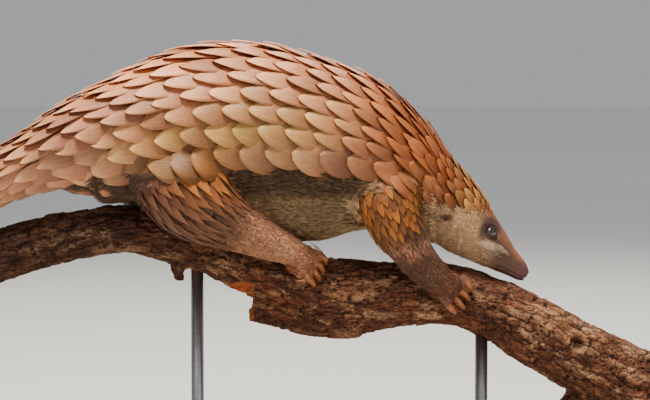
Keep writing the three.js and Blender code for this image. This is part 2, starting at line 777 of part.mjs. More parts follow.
const core = scaledTube(trunk, { ...headCoat, from: at.nape, to: trunk.length, lift: -MOUTH.depth, step: () => 0 });
taken.push(solidOf(slit, slitTurn).subtract(core));
head = Manifold.union([head, ...added]).subtract(Manifold.union(taken));
addNode("head", head, "scales");

for (const [name, place] of Object.entries(SECTIONS)) {
  if (name !== "head") addNode(name, section(...place), "scales");
}

// Perch and stand
addNode("branch", branch, "bark");
ROD.places.forEach((x, i) => addNode(`stand_rod_${i + 1}`, rodSolid(x, 0), "steel"));
const outline = new THREE.Shape();
const [halfLength, halfWidth] = [BASE.length / 2 - BASE.chamfer, BASE.width / 2 - BASE.chamfer];
const corner = BASE.corner;
outline.moveTo(-halfLength + corner, -halfWidth);
outline.lineTo(halfLength - corner, -halfWidth);
outline.absarc(halfLength - corner, -halfWidth + corner, corner, -Math.PI / 2, 0);
outline.absarc(halfLength - corner, halfWidth - corner, corner, 0, Math.PI / 2);
outline.absarc(-halfLength + corner, halfWidth - corner, corner, Math.PI / 2, Math.PI);
outline.absarc(-halfLength + corner, -halfWidth + corner, corner, Math.PI, 1.5 * Math.PI);
const plate = new THREE.ExtrudeGeometry(outline, {
  depth: BASE.height - 2 * BASE.chamfer,
  bevelThickness: BASE.chamfer,
  bevelSize: BASE.chamfer,
  bevelSegments: 1,
  curveSegments: 6,
});
addNode("stand_base", solidOf(plate, new THREE.Matrix4().makeTranslation(0, 0, BASE.chamfer)), "wood");

export default group;
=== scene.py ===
# A white-bellied tree pangolin walking down a cut branch on a plain stand, as a finished visual model.
# Sizes are in millimetres until a mesh is made. The head points to +X and the animal's right side faces -Y.
import math

import bmesh
import bpy
import numpy as np
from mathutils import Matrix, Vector, noise
from mathutils.bvhtree import BVHTree


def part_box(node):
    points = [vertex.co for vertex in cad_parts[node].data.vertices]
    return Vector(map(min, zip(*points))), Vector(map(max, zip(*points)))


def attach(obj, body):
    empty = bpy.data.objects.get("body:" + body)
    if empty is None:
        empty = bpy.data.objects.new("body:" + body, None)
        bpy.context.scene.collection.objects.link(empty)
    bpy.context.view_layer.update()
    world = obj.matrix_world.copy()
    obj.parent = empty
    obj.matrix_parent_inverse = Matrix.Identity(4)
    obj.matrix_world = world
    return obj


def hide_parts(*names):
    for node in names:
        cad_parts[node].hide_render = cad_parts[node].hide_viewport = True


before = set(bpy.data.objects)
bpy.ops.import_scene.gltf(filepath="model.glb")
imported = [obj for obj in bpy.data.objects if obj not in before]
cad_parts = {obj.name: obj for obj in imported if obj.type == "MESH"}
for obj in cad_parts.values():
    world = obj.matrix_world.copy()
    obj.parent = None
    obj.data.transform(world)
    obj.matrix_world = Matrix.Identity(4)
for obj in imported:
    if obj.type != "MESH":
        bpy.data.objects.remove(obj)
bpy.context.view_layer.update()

MM = 0.001
RIGHT = -1
LEFT = 1

# The trunk from tail tip to nose: x, y, z, half width, rise of the back, drop of the belly
TRUNK_STATIONS = [
    [-289, 2, 39, 4, 3.5, 3.5],
    [-294, 4, 30, 8, 5.5, 5.5],
    [-310, 8, 24, 11, 7, 7],
    [-333, 15, 31, 13, 8.5, 8.5],
    [-348, 20, 54, 16, 10, 10],
    [-350, 23, 90, 18.5, 11.5, 11],
    [-338, 22, 129, 20.5, 13, 12.5],
    [-314, 17, 167, 23, 14, 13],
    [-282, 11, 200, 25, 15.5, 14],
    [-246, 5, 227, 27, 17, 15],
    [-210, 1, 249, 30, 19, 17],
    [-174, 0, 268, 34.5, 24, 26],
    [-156, 0, 276.5, 38, 28, 42],
    [-138, 0, 284, 41.5, 32, 54.5],
    [-98, 0, 292, 47, 45, 60],
    [-54, 0, 296, 51, 58, 72],
    [-10, 0, 290, 53, 66, 80],
    [38, 0, 276, 53, 68, 80],
    [74, 0, 262, 50, 65, 66],
    [104, 0, 248, 44, 53, 42],
    [127, 0, 234.5, 35, 40.5, 31],
    [147, 0, 221, 28, 33, 25.5],
    [162, 0, 206.5, 22, 28.5, 19],
    [177, 0, 194.5, 17, 22.5, 13.5],
    [190, 0, 185, 12.5, 16, 10],
    [201, 0, 178, 9, 10.5, 7.5],
    [207, 0, 173.5, 7, 8, 6],
    [211, 0, 170.5, 4.5, 5, 4],
]

# Legs from hip or shoulder to the toes' roots: x, y, z, half width, front radius, rear radius
LEGS = {
    "hindleg_right": (RIGHT, [
        [-70, -22, 270, 22, 36, 34],
        [-62, -33, 250, 23, 38, 36],
        [-46, -40, 232, 21, 31, 32],
        [-26, -41, 218, 17, 21, 23],
        [-8, -38, 208, 14.5, 16, 17],
        [8, -34, 200, 13.5, 14, 13.5],
        [21, -31, 194, 13.5, 12, 11],
        [30, -29, 189, 12.5, 10, 8.5],
        [37, -28, 184, 10, 7, 6.5],
    ]),
    "hindleg_left": (LEFT, [
        [-92, 22, 272, 22, 36, 34],
        [-86, 33, 252, 23, 38, 36],
        [-74, 40, 236, 21, 30, 31],
        [-56, 40, 223, 17, 21, 23],
        [-38, 37, 214, 14.5, 16, 16],
        [-22, 33, 208, 13.5, 13.5, 13],
        [-9, 29, 203, 13.5, 11.5, 10.5],
        [1, 27, 198, 12.5, 9.5, 8.5],
        [8, 26, 193, 10, 7, 6.5],
    ]),
    "foreleg_right": (RIGHT, [
        [98, -22, 250, 20, 26, 26],
        [100, -34, 236, 20, 25, 24],
        [106, -40, 216, 18, 21, 21],
        [116, -41, 198, 15, 16, 16.5],
        [126, -39, 184, 13.5, 14, 14],
        [136, -36, 174, 13.5, 12.5, 12.5],
        [144, -34, 168, 12.5, 10, 9.5],
        [150, -33, 163, 10.5, 7.5, 6.5],
    ]),
    "foreleg_left": (LEFT, [
        [96, 22, 250, 20, 26, 26],
        [98, 34, 236, 20, 25, 24],
        [104, 40, 216, 18, 20, 19],
        [111, 41, 199, 14.5, 15, 14],
        [118, 38, 187, 13, 12.5, 12],
        [125, 35, 180, 13, 11.5, 11],
        [132, 33, 175, 12, 9.5, 9],
        [138, 32, 171, 10, 7, 6.5],
    ]),
}
TOES = {
    "hindleg": {"spacing": 6.6, "radius": 4.0, "reach": 7.0, "claws": [10, 13, 14, 12]},
    "foreleg": {"spacing": 6.6, "radius": 4.0, "reach": 6.0, "claws": [11, 18, 20, 14]},
}

# The branch: x, z and radius along its middle
BRANCH_STATIONS = [
    [-242, 177.5, 22],
    [-210, 187.5, 22],
    [-162, 201, 20],
    [-110, 208.5, 19.5],
    [-78, 203, 19.5],
    [-44, 191, 19],
    [-10, 177.5, 21],
    [30, 165, 23],
    [58, 161, 25],
    [94, 156.5, 27],
    [126, 157.5, 26],
    [158, 154.5, 25],
    [190, 142.5, 26],
    [230, 119.5, 28],
    [270, 97.5, 29],
    [310, 78.5, 30],
    [331, 69, 30],
]
LIMB_STATIONS = [[-8, 148, 14.5], [14, 145, 17], [44, 143.5, 22], [76, 146, 24], [112, 152, 22]]
SNAG_STATIONS = [[-68, 190, 11], [-67, 177, 7], [-66, 166, 4]]
FORK_STATIONS = [[284, 92, 22], [262, 70, 20], [246, 52, 17]]

BASE = {"length": 430, "width": 190, "height": 16, "corner": 24, "edge": 3}
ROD = {"radius": 5, "foot": 13, "foot_height": 4, "places": [-52, 176]}


def srgb(red, green, blue):
    """A colour on the 0 to 255 scale of a screen, as the linear values that shaders take."""
    def linear(value):
        value /= 255
        return value / 12.92 if value <= 0.04045 else ((value + 0.055) / 1.055) ** 2.4
    return np.array([linear(red), linear(green), linear(blue)])


def smoothstep(low, high, value):
    """A smooth step from 0 at low to 1 at high, which may be the smaller of the two."""
    t = np.clip((value - low) / (high - low), 0, 1)
    return t * t * (3 - 2 * t)


def mix(a, b, t):
    return a + (b - a) * t


def blend(colours, other, weight):
    """Each place's colour, moved towards another by the place's own weight."""
    return mix(colours, other, weight[:, None])


def height_on(line, x):
    """The height at x of a line through x and z places in the side view."""
    return np.interp(x, *np.array(line).T)


def unit(vectors):
    return vectors / np.maximum(np.linalg.norm(vectors, axis=-1, keepdims=True), 1e-9)


class Tube:
    """A tube of flesh along a smooth curve through its stations.

    Its front is the back of the trunk and the shin of a leg.
    """

    PER_SPAN = 40

    def __init__(self, stations):
        table = np.array(stations, float)
        self.sizes = table[:, 3:]
        points = table[:, :3]
        ends = np.vstack([2 * points[0] - points[1], points, 2 * points[-1] - points[-2]])
        spans = [self.span(ends[i:i + 4]) for i in range(len(points) - 1)]
        self.line = np.vstack(spans + [points[-1:]])
        steps = np.linalg.norm(np.diff(self.line, axis=0), axis=1)
        self.marks = np.concatenate([[0], np.cumsum(steps)])
        self.length = self.marks[-1]
        self.stations_at = self.marks[::self.PER_SPAN]
        self.heading = unit(np.gradient(self.line, self.marks, axis=0))

    def span(self, four):
        """A centripetal Catmull-Rom piece from the second to the third of four points."""
        gaps = [max(np.linalg.norm(four[i + 1] - four[i]), 1e-6) ** 0.5 for i in range(3)]
        x0, x1, x2, x3 = four
        leave = (x1 - x0) / gaps[0] - (x2 - x0) / (gaps[0] + gaps[1]) + (x2 - x1) / gaps[1]
        arrive = (x2 - x1) / gaps[1] - (x3 - x1) / (gaps[1] + gaps[2]) + (x3 - x2) / gaps[2]
        leave, arrive = leave * gaps[1], arrive * gaps[1]
        t = np.linspace(0, 1, self.PER_SPAN, endpoint=False)[:, None]
        bend = -3 * x1 + 3 * x2 - 2 * leave - arrive
        twist = 2 * x1 - 2 * x2 + leave + arrive
        return x1 + leave * t + bend * t ** 2 + twist * t ** 3

    def radii(self, s):
        """Half width, front radius and rear radius at distances along the tube."""
        s = np.asarray(s, float)
        last = len(self.sizes) - 1
        i = np.clip(np.searchsorted(self.stations_at, s, side="right") - 1, 0, last - 1)
        t = (s - self.stations_at[i]) / (self.stations_at[i + 1] - self.stations_at[i])
        t = np.clip(t, 0, 1)[..., None]
        p0, p1, p2, p3 = (self.sizes[np.clip(i + k, 0, last)] for k in (-1, 0, 1, 2))
        bend = 2 * p0 - 5 * p1 + 4 * p2 - p3
        twist = 3 * p1 - p0 - 3 * p2 + p3
        return 0.5 * (2 * p1 + (p2 - p0) * t + bend * t ** 2 + twist * t ** 3)

    def frame(self, s):
        """The middle and the directions along, to the side and to the front, at distances along."""
        s = np.clip(np.asarray(s, float), 0, self.length)
        centre = np.stack([np.interp(s, self.marks, self.line[:, k]) for k in range(3)], -1)
        along = unit(np.stack([np.interp(s, self.marks, self.heading[:, k]) for k in range(3)], -1))
        side = unit(np.array([0.0, 1.0, 0.0]) - along * along[..., 1:2])
        front = np.cross(along, side)
        return centre, along, side, front

    def point(self, s, angle, lift=0.0):
        """Surface points at angles from the front, towards +Y, lifted off the flesh."""
        s, angle, lift = np.broadcast_arrays(s, angle, lift)
        centre, _, side, front = self.frame(s)
        sizes = self.radii(s)
        c, w = np.cos(angle)[..., None], np.sin(angle)[..., None]
        wide = sizes[..., 0:1]
        depth = np.where(c >= 0, sizes[..., 1:2], sizes[..., 2:3])
        out = unit(front * c / depth + side * w / wide)
        return centre + front * c * depth + side * w * wide + out * lift[..., None]

    def nearest(self, points, step=2.0):
        """For each point, the nearest distance along the tube, and how far out it is in radii."""
        marks = np.arange(0, self.length, step)
        centre, _, side, front = self.frame(marks)
        sizes = self.radii(marks)
        best = np.zeros(len(points), int)
        for first in range(0, len(points), 4096):
            part = points[first:first + 4096]
            best[first:first + 4096] = np.argmin(
                ((part[:, None, :] - centre[None]) ** 2).sum(-1), axis=1)
        offset = points - centre[best]
        x = (offset * side[best]).sum(-1)
        y = (offset * front[best]).sum(-1)
        depth = np.where(y >= 0, sizes[best, 1], sizes[best, 2])
        out = np.hypot(x / sizes[best, 0], y / depth)
        return marks[best], out, np.arctan2(x / sizes[best, 0], y / depth)

    def where(self, x, z):
        """The distance along the tube where its line passes nearest to x and z."""
        return self.marks[np.argmin(np.hypot(self.line[:, 0] - x, self.line[:, 2] - z))]


trunk = Tube(TRUNK_STATIONS)
legs = {name: Tube(stations) for name, (_, stations) in LEGS.items()}
AT_TAIL_ROOT = trunk.where(-200, 253)
AT_RUMP = trunk.where(-112, 290)
AT_SHOULDER = trunk.where(100, 250)
AT_NAPE = trunk.where(140, 226)
AT_CROWN = trunk.where(120, 240)


def placed(name, data):
    """An object for a mesh, shaded smooth."""
    data.polygons.foreach_set("use_smooth", [True] * len(data.polygons))
    made = bpy.data.objects.new(name, data)
    bpy.context.scene.collection.objects.link(made)
    return made


def mesh_object(name, points, faces):
    """An object from points in millimetres and faces of point numbers."""
    data = bpy.data.meshes.new(name)
    data.from_pydata((np.asarray(points) * MM).tolist(), [], [tuple(f) for f in faces])
    data.update()
    return placed(name, data)


def quad_rows(rings, sides):
    """Faces between successive rings of equally many points."""
    faces = []
    for r in range(rings - 1):
        for i in range(sides):
            a = r * sides + i
            b = r * sides + (i + 1) % sides
            faces.append((a, b, b + sides, a + sides))
    return faces


def loft(rings):
    """Points and faces of a closed body through rings, with a fan over each end."""
    rings = np.asarray(rings)
    count, sides, _ = rings.shape
    points = np.vstack([rings.reshape(-1, 3), rings[0].mean(0), rings[-1].mean(0)])
    faces = quad_rows(count, sides)
    start, end = count * sides, count * sides + 1
    last = (count - 1) * sides
    for i in range(sides):
        j = (i + 1) % sides
        faces.append((start, j, i))
        faces.append((end, last + i, last + j))
    return points, faces


def joined(bodies):
    """Several bodies' points and faces as one list of each."""
    points, faces, count = [], [], 0
    for body_points, body_faces in bodies:
        points.append(body_points)
        faces.extend([tuple(v + count for v in f) for f in body_faces])
        count += len(body_points)
    return np.vstack(points), faces


def remeshed(name, bodies, voxel):
    """One closed surface round overlapping bodies, as a mesh."""
    source = mesh_object(name, *joined(bodies))
    modifier = source.modifiers.new("remesh", "REMESH")
    modifier.mode = "VOXEL"
    modifier.voxel_size = voxel * MM
    graph = bpy.context.evaluated_depsgraph_get()
    result = bpy.data.meshes.new_from_object(source.evaluated_get(graph))
    bpy.data.objects.remove(source)
    return result


def coordinates(data):
    """A mesh's points in millimetres."""
    points = np.zeros(len(data.vertices) * 3)
    data.vertices.foreach_get("co", points)
    return points.reshape(-1, 3) / MM


def set_coordinates(data, points):
    data.vertices.foreach_set("co", (points * MM).ravel())
    data.update()


def normals(data):
    found = np.zeros(len(data.vertices) * 3)
    data.vertex_normals.foreach_get("vector", found)
    return found.reshape(-1, 3)


def relaxed(data, points, weight, rounds):
    """Moves each point towards the middle of its neighbours, by a weight for each point."""
    pairs = np.zeros(len(data.edges) * 2, int)
    data.edges.foreach_get("vertices", pairs)
    a, b = pairs.reshape(-1, 2).T
    count = np.bincount(np.concatenate([a, b]), minlength=len(points))[:, None]
    for _ in range(rounds):
        total = np.zeros_like(points)
        for k in range(3):
            total[:, k] += np.bincount(a, points[b, k], len(points))
            total[:, k] += np.bincount(b, points[a, k], len(points))
        points = points + (total / count - points) * weight[:, None]
    return points


def noise_at(points, size, seed=0.0):
    """Smooth noise from about -1 to 1 at points, with features of a size in millimetres."""
    shift = Vector((seed * 17.3, seed * 5.1, seed * 9.7))
    return np.array([noise.noise(Vector(p) / size + shift) for p in points])


# The skin

SKIN_VOXEL = 1.45
LEG_SINK = 0.5
TOES_APART = 0.12
# Along a toe, how thick it is at places behind its root, in millimetres, and ahead of it, by its reach
TOE_PROFILE = [(-9, 0.8), (-4, 0.98), (0, 1.08), (0.35, 0.95), (0.7, 1.06), (1.0, 0.92), (1.12, 0.6)]
TOE_FLATNESS = 0.92
SMOOTHING = {"face": 0.07, "elsewhere": 0.15, "leg roots": 0.45, "rounds": 14}
FINE_ROUND_EYES = 10
# Places along X ahead of which the skin is smoothed less, has a finer and the finest mesh, and has wrinkles
SMOOTHED_LESS_FROM = 160
FINER_FROM = 134
FINEST_FROM = 203
WRINKLED_FROM = 150
# A height under the head and above the forefeet, which parts the two in a side view
HEAD_FLOOR = [(134, 203), (150, 186), (165, 178), (185, 168), (200, 155)]


def tube_body(tube, lift, sides=96, step=2.0):
    s = np.linspace(0, tube.length, int(tube.length / step))
    angle = np.linspace(0, 2 * math.pi, sides, endpoint=False)
    return loft(tube.point(s[:, None], angle[None, :], lift(s)[:, None]))


def trunk_lift(s):
    """The skin lies under the coat on the body, and at the surface on the bare face."""
    return mix(-0.9, 0.5, smoothstep(AT_NAPE, AT_NAPE + 30, s))


def branch_middle(x):
    xs, zs, _ = np.array(BRANCH_STATIONS).T
    return np.array([x, 0, np.interp(x, xs, zs)])


def toe_frames(name):
    """Each toe's root, direction ahead, direction down to the branch, and claw length."""
    side, _ = LEGS[name]
    tube = legs[name]
    toes = TOES[name.split("_")[0]]
    centre, along, _, _ = tube.frame(tube.length)
    up = centre - branch_middle(centre[0])
    inward = unit(np.cross(along, up) * -side)
    if inward[1] * side > 0:
        inward = -inward
    frames = []
    for i, length in enumerate(toes["claws"]):
        place = i - (len(toes["claws"]) - 1) / 2
        root = centre - inward * place * toes["spacing"]
        ahead = unit(along - inward * TOES_APART * place)
        out = root - branch_middle(root[0])
        down = -unit(out - ahead * np.dot(out, ahead))
        frames.append((root, ahead, down, length))
    return frames


def toe_body(root, ahead, down, toes, sides=20):
    """A toe with a knuckle, and a cuticle that wraps the claw's root."""
    across = np.cross(ahead, down)
    angle = np.linspace(0, 2 * math.pi, sides, endpoint=False)[:, None]
    ring = across * np.cos(angle) * TOE_FLATNESS + down * np.sin(angle)
    rings = []
    for place, size in TOE_PROFILE:
        distance = place if place <= 0 else place * toes["reach"]
        rings.append(root + ahead * distance + ring * toes["radius"] * size * 0.95)
    return loft(rings)


def flesh_bodies():
    bodies = [tube_body(trunk, trunk_lift)]
    for name, tube in legs.items():
        bodies.append(tube_body(tube, lambda s: np.full_like(s, -LEG_SINK), sides=64, step=1.5))
        for root, ahead, down, _ in toe_frames(name):
            bodies.append(toe_body(root, ahead, down, TOES[name.split("_")[0]]))
    return bodies


def eye_spot(side):
    """The middle of one CAD eyeball, and the head's directions ahead, up and out there."""
    node = "eye_right" if side == RIGHT else "eye_left"
    low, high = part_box(node)
    centre = (np.array(low) + np.array(high)) / 2 / MM
    places, _, angles = trunk.nearest(centre[None], 0.5)
    s, angle = places[0], angles[0]
    here = trunk.point(s, angle)
    ahead = unit(trunk.point(s + 1, angle) - here)
    round_way = unit(trunk.point(s, angle + 0.03) - here)
    out = unit(np.cross(ahead, round_way))
    if out[1] * side < 0:
        out = -out
    up = np.cross(out, ahead)
    if up[2] < 0:
        up = -up
    return centre, ahead, up, out


EYE_RADIUS = 4.6
LID = {"length": 3.9, "height": 2.9, "thick": 0.75, "reach": 8.5}


def sculpt_eye(points, side):
    """Lids that stand over the eyeball, with a pocket for it inside and a fold round them."""
    centre, ahead, up, out = eye_spot(side)
    offset = points - centre
    a, b, h = offset @ ahead, offset @ up, offset @ out
    near = (np.hypot(a, b) < LID["reach"]) & (h > -2) & (points[:, 1] * side > 0)
    ring = np.hypot(a / LID["length"], b / LID["height"])
    ball = np.sqrt(np.maximum(EYE_RADIUS ** 2 - a ** 2 - b ** 2, 0))
    lid_height = ball + LID["thick"]
    inside = ball - 2.2
    pocket = smoothstep(1.02, 0.86, ring)
    on_lid = mix(lid_height, inside, pocket)
    fold = -0.5 * np.exp(-((ring - 1.75) / 0.16) ** 2)
    outward = smoothstep(1.15, 2.1, ring)
    target = mix(on_lid, h, outward) + fold
    moved = np.where(near, target, h)
    return points + out * (moved - h)[:, None]


EAR_PLACE = (145.5, 219.0)
EAR_SIZE = (5.4, 3.3)


def sculpt_ear(points, side):
    """An ear opening with a soft crescent behind it, as this animal has no outer ear."""
    offset = points - np.array([EAR_PLACE[0], side * 25, EAR_PLACE[1]])
    a = offset[:, 0] * 0.86 - offset[:, 2] * 0.5
    b = offset[:, 0] * 0.5 + offset[:, 2] * 0.86
    ring = np.hypot(a / EAR_SIZE[0], b / EAR_SIZE[1])
    near = (points[:, 1] * side > 8) & (ring < 2.2)
    depth = -3.2 * smoothstep(0.95, 0.35, ring)
    behind = 0.55 - 0.45 * np.clip(a / EAR_SIZE[0], -1, 1)
    rim = 1.1 * np.exp(-((ring - 1.2) / 0.22) ** 2) * behind
    change = np.where(near, depth + rim, 0)
    return points + np.array([0, side, 0]) * change[:, None]


MOUTH_LINE = [(188, 180.0), (196, 176.2), (205, 171.8), (212, 168.2), (218, 165.5)]


def sculpt_mouth(points, outward):
    """The line of the mouth along the muzzle, with a soft lip above and below."""
    off = (points[:, 2] - height_on(MOUTH_LINE, points[:, 0])) * 0.88
    along = smoothstep(187, 191, points[:, 0])
    groove = -0.9 * np.exp(-(off / 0.45) ** 2)
    lips = 0.35 * np.exp(-((np.abs(off) - 1.4) / 0.9) ** 2)
    return points + outward * ((groove + lips) * along)[:, None]


NOSTRIL = {"x": 211.5, "y": 2.8, "z": 173.5, "radius": 1.6, "depth": 1.8}


def sculpt_nose(points, outward):
    """Nostrils, each with a soft rim."""
    offset = points - np.array([NOSTRIL["x"], 0, NOSTRIL["z"]])
    offset[:, 1] = np.abs(points[:, 1]) - NOSTRIL["y"]
    distance = np.linalg.norm(offset, axis=1) / NOSTRIL["radius"]
    pit = -NOSTRIL["depth"] * smoothstep(1.0, 0.3, distance)
    rim = 0.3 * np.exp(-((distance - 1.35) / 0.35) ** 2)
    return points + outward * (pit + rim)[:, None]


def refine(data, chosen):
    """Splits the faces round chosen points into four."""
    work = bmesh.new()
    work.from_mesh(data)
    edges = [e for e in work.edges if chosen[e.verts[0].index] and chosen[e.verts[1].index]]
    bmesh.ops.subdivide_edges(work, edges=edges, cuts=1, use_grid_fill=True, smooth=0.6)
    work.to_mesh(data)
    work.free()
    data.update()


def head_from(x, points):
    """Which points lie on the head ahead of x, and not on a forefoot under it."""
    return (points[:, 0] > x) & (points[:, 2] > height_on(HEAD_FLOOR, points[:, 0]))


def near_leg_roots(points):
    """Marks the folds between the trunk and the legs, which are smoothed most."""
    joint = np.zeros(len(points))
    _, trunk_out, _ = trunk.nearest(points, 4.0)
    for tube in legs.values():
        s, out, _ = tube.nearest(points, 4.0)
        joint[(out < 1.5) & (trunk_out < 1.5) & (s < 0.75 * tube.length)] = 1
    return joint


def wrinkles(points):
    """Fine folds round the muzzle, with a smaller grain on them."""
    near = head_from(WRINKLED_FROM, points)
    height = np.zeros(len(points))
    folds = noise_at(points[near] / np.array([0.45, 1.0, 0.7]), 2.6, 4)
    height[near] = 0.24 * folds + 0.1 * noise_at(points[near], 1.1, 5)
    return height


def make_skin():
    data = remeshed("skin", flesh_bodies(), SKIN_VOXEL)
    points = coordinates(data)
    weight = np.where(head_from(SMOOTHED_LESS_FROM, points), SMOOTHING["face"], SMOOTHING["elsewhere"])
    weight = weight + SMOOTHING["leg roots"] * near_leg_roots(points)
    points = relaxed(data, points, weight, SMOOTHING["rounds"])
    set_coordinates(data, points)
    refine(data, head_from(FINER_FROM, points))
    points = coordinates(data)
    finest = points[:, 0] > FINEST_FROM
    for side in (RIGHT, LEFT):
        finest |= np.linalg.norm(points - eye_spot(side)[0], axis=1) < FINE_ROUND_EYES
    refine(data, finest)
    points = coordinates(data)
    points = sculpt_mouth(points, normals(data))
    set_coordinates(data, points)
    points = sculpt_nose(points, normals(data))
    for side in (RIGHT, LEFT):
        points = sculpt_ear(points, side)
        points = sculpt_eye(points, side)
    set_coordinates(data, points + normals(data) * wrinkles(points)[:, None])
    return placed("skin", data)


skin = make_skin()
skin_points = coordinates(skin.data)
skin_tree = BVHTree.FromPolygons(
    skin_points.tolist(), [tuple(face.vertices) for face in skin.data.polygons])


# The scales

ALONG = np.array([0, 0.16, 0.34, 0.5, 0.64, 0.76, 0.86, 0.94, 1.0])
ACROSS = np.array([-1, -0.72, -0.36, 0, 0.36, 0.72, 1])
FORMS = {
    "broad": {"shoulder": 0.42, "root": 0.8, "power": 1.75, "round": 0.68},
    "pointed": {"shoulder": 0.35, "root": 0.75, "power": 1.5, "round": 0.8},
    "hairy": {"shoulder": 0.2, "root": 0.8, "power": 1.2, "round": 1.0},
}


def width_along(form, v):
    """A scale's half width along it, as a share of its greatest half width."""
    shape = FORMS[form]
    root = mix(shape["root"], 1, smoothstep(0, shape["shoulder"], v))
    x = np.clip((v - shape["shoulder"]) / (1 - shape["shoulder"]), 0, 1)
    return np.where(v < shape["shoulder"], root, (1 - x ** shape["power"]) ** shape["round"])


def closed_grid(rows, columns):
    """Faces of a thin shell: an upper and a lower grid of points, sewn round their rim."""
    count = rows * columns
    faces = []
    for r in range(rows - 1):
        for c in range(columns - 1):
            a = r * columns + c
            upper = (a, a + 1, a + columns + 1, a + columns)
            faces.append(upper)
            faces.append(tuple(count + v for v in reversed(upper)))
    rim = list(range(columns))
    rim += [r * columns + columns - 1 for r in range(1, rows)]
    rim += [(rows - 1) * columns + c for c in range(columns - 2, -1, -1)]
    rim += [r * columns for r in range(rows - 2, 0, -1)]
    for a, b in zip(rim, rim[1:] + rim[:1]):
        faces.append((b, a, count + a, count + b))
    return np.array(faces)


SHELL_FACES = closed_grid(len(ALONG), len(ACROSS))
# How far a scale's tip leans towards the belly, and how far its lower edge stands over the next row
SKEW = 0.28
TUCK = 0.42


def scale_plates(tube, rows):
    """Points of many scales, each a thin shell over a tube.

    rows has arrays of tip, angle, length, half, lift, thick, roll, yaw and lean for the scales, and
    their shared direction, form and over, which gives extra height at places or is None.
    """
    v = ALONG[None, :, None]
    u = ACROSS[None, None, :]
    tip, angle, length, half, lift, thick, roll, yaw, lean = (
        rows[k][:, None, None]
        for k in ("tip", "angle", "length", "half", "lift", "thick", "roll", "yaw", "lean"))
    form = rows["form"]
    back = (1 - v) * length
    wide = half * (u * width_along(form, v) + SKEW * lean * v ** 2)
    s_off = back * np.cos(yaw) + wide * np.sin(yaw)
    w_off = wide * np.cos(yaw) - back * np.sin(yaw)
    s = tip - rows["direction"] * s_off
    step = 0.02
    metric = np.linalg.norm(
        tube.point(tip, angle + step) - tube.point(tip, angle - step), axis=-1) / (2 * step)
    a = angle + w_off / np.maximum(metric, 4)
    crown = 0.045 * half * (1 - np.abs(u) ** 1.5) * np.minimum(1, 1.4 * v)
    rise = lift * (v - 0.2 * v ** 4) - 1.0 * (1 - v) ** 3
    tuck = TUCK * lean * u * lift * np.minimum(1, 1.6 * v)
    height = rise + crown + roll * wide + tuck
    if rows["over"] is not None:
        height = height + rows["over"](s, a)
    edge = (1 - np.abs(u) ** 3) * (1 - v ** 6)
    upper = tube.point(s, a, height)
    lower = tube.point(s, a, height - thick * (0.4 + 0.6 * edge))
    return np.stack([upper, lower], 1).reshape(len(rows["tip"]), -1, 3)


# How far out the skin is looked for, how far scales may sink into it, and the most they are lifted over it
SKIN_SEARCH = 40.0
SINK_IN_SKIN = 2.4
MOST_SWELLING = 17


def swelling(s, a):
    """How far the skin stands out over the trunk's own surface, as at a hip or a shoulder."""
    start = trunk.point(s, a, -3.0)
    ahead = unit(trunk.point(s, a, 1.0) - start)
    shape = start.shape[:-1]
    found = np.zeros(shape)
    for place in np.ndindex(shape):
        hit = skin_tree.ray_cast(Vector(start[place]), Vector(ahead[place]), SKIN_SEARCH)
        if hit[0] is not None:
            found[place] = max(0.0, hit[3] - SINK_IN_SKIN)
    return found


def lattice(tube, start, end, pitch, rows, angle, keep, direction):
    """Tips of scales in rings, each set half a place off the ring before.

    They run from start to end, and direction says which way along the tube their tips point.
    """
    places = [start]
    while (end - places[-1]) * direction > 0:
        places.append(places[-1] + direction * pitch(places[-1]) / 2)
    found = []
    for k, s in enumerate(places):
        for row in range(k % 2, rows, 2):
            a = angle(row, s)
            near, far = angle(row - 1, s), angle(row + 1, s)
            gap = np.linalg.norm(tube.point(s, near) - tube.point(s, far))
            if keep(row, s, a):
                found.append((s, a, pitch(s), gap / 2))
    return np.array(found)


# Each kind of scale: the pitch of its rings at the start and the end of a span, its outline, its length
# by the pitch, its width by the gap, the lift of its tip at the start and the end of a span, its
# thickness, how far it may turn, and whether its tip leans towards the belly
KINDS = {
    "tail": {"pitch": (12, 20), "form": "pointed", "longer": 1.8, "wider": 0.68, "lift": (2.0, 3.6),
             "thick": 0.8, "stray": 0.1, "leans": False},
    "body": {"pitch": (19, 20.5), "form": "broad", "longer": 1.85, "wider": 0.67, "lift": (4.0, 4.0),
             "thick": 1.05, "stray": 0.1, "leans": True},
    "neck": {"pitch": (18.5, 14.5), "form": "broad", "longer": 1.85, "wider": 0.73, "lift": (3.4, 3.4),
             "thick": 0.9, "stray": 0.1, "leans": True},
    "head": {"pitch": (11, 7), "form": "broad", "longer": 1.7, "wider": 0.8, "lift": (3.6, 2.2),
             "thick": 0.6, "stray": 0.2, "leans": True},
    "hindleg": {"pitch": (12, 12), "form": "hairy", "longer": 2.0, "wider": 0.8, "lift": (2.4, 2.4),
                "thick": 0.5, "stray": 0.22, "leans": False},
    "foreleg": {"pitch": (8.5, 8.5), "form": "pointed", "longer": 2.0, "wider": 0.8, "lift": (2.4, 2.4),
                "thick": 0.5, "stray": 0.22, "leans": False},
}


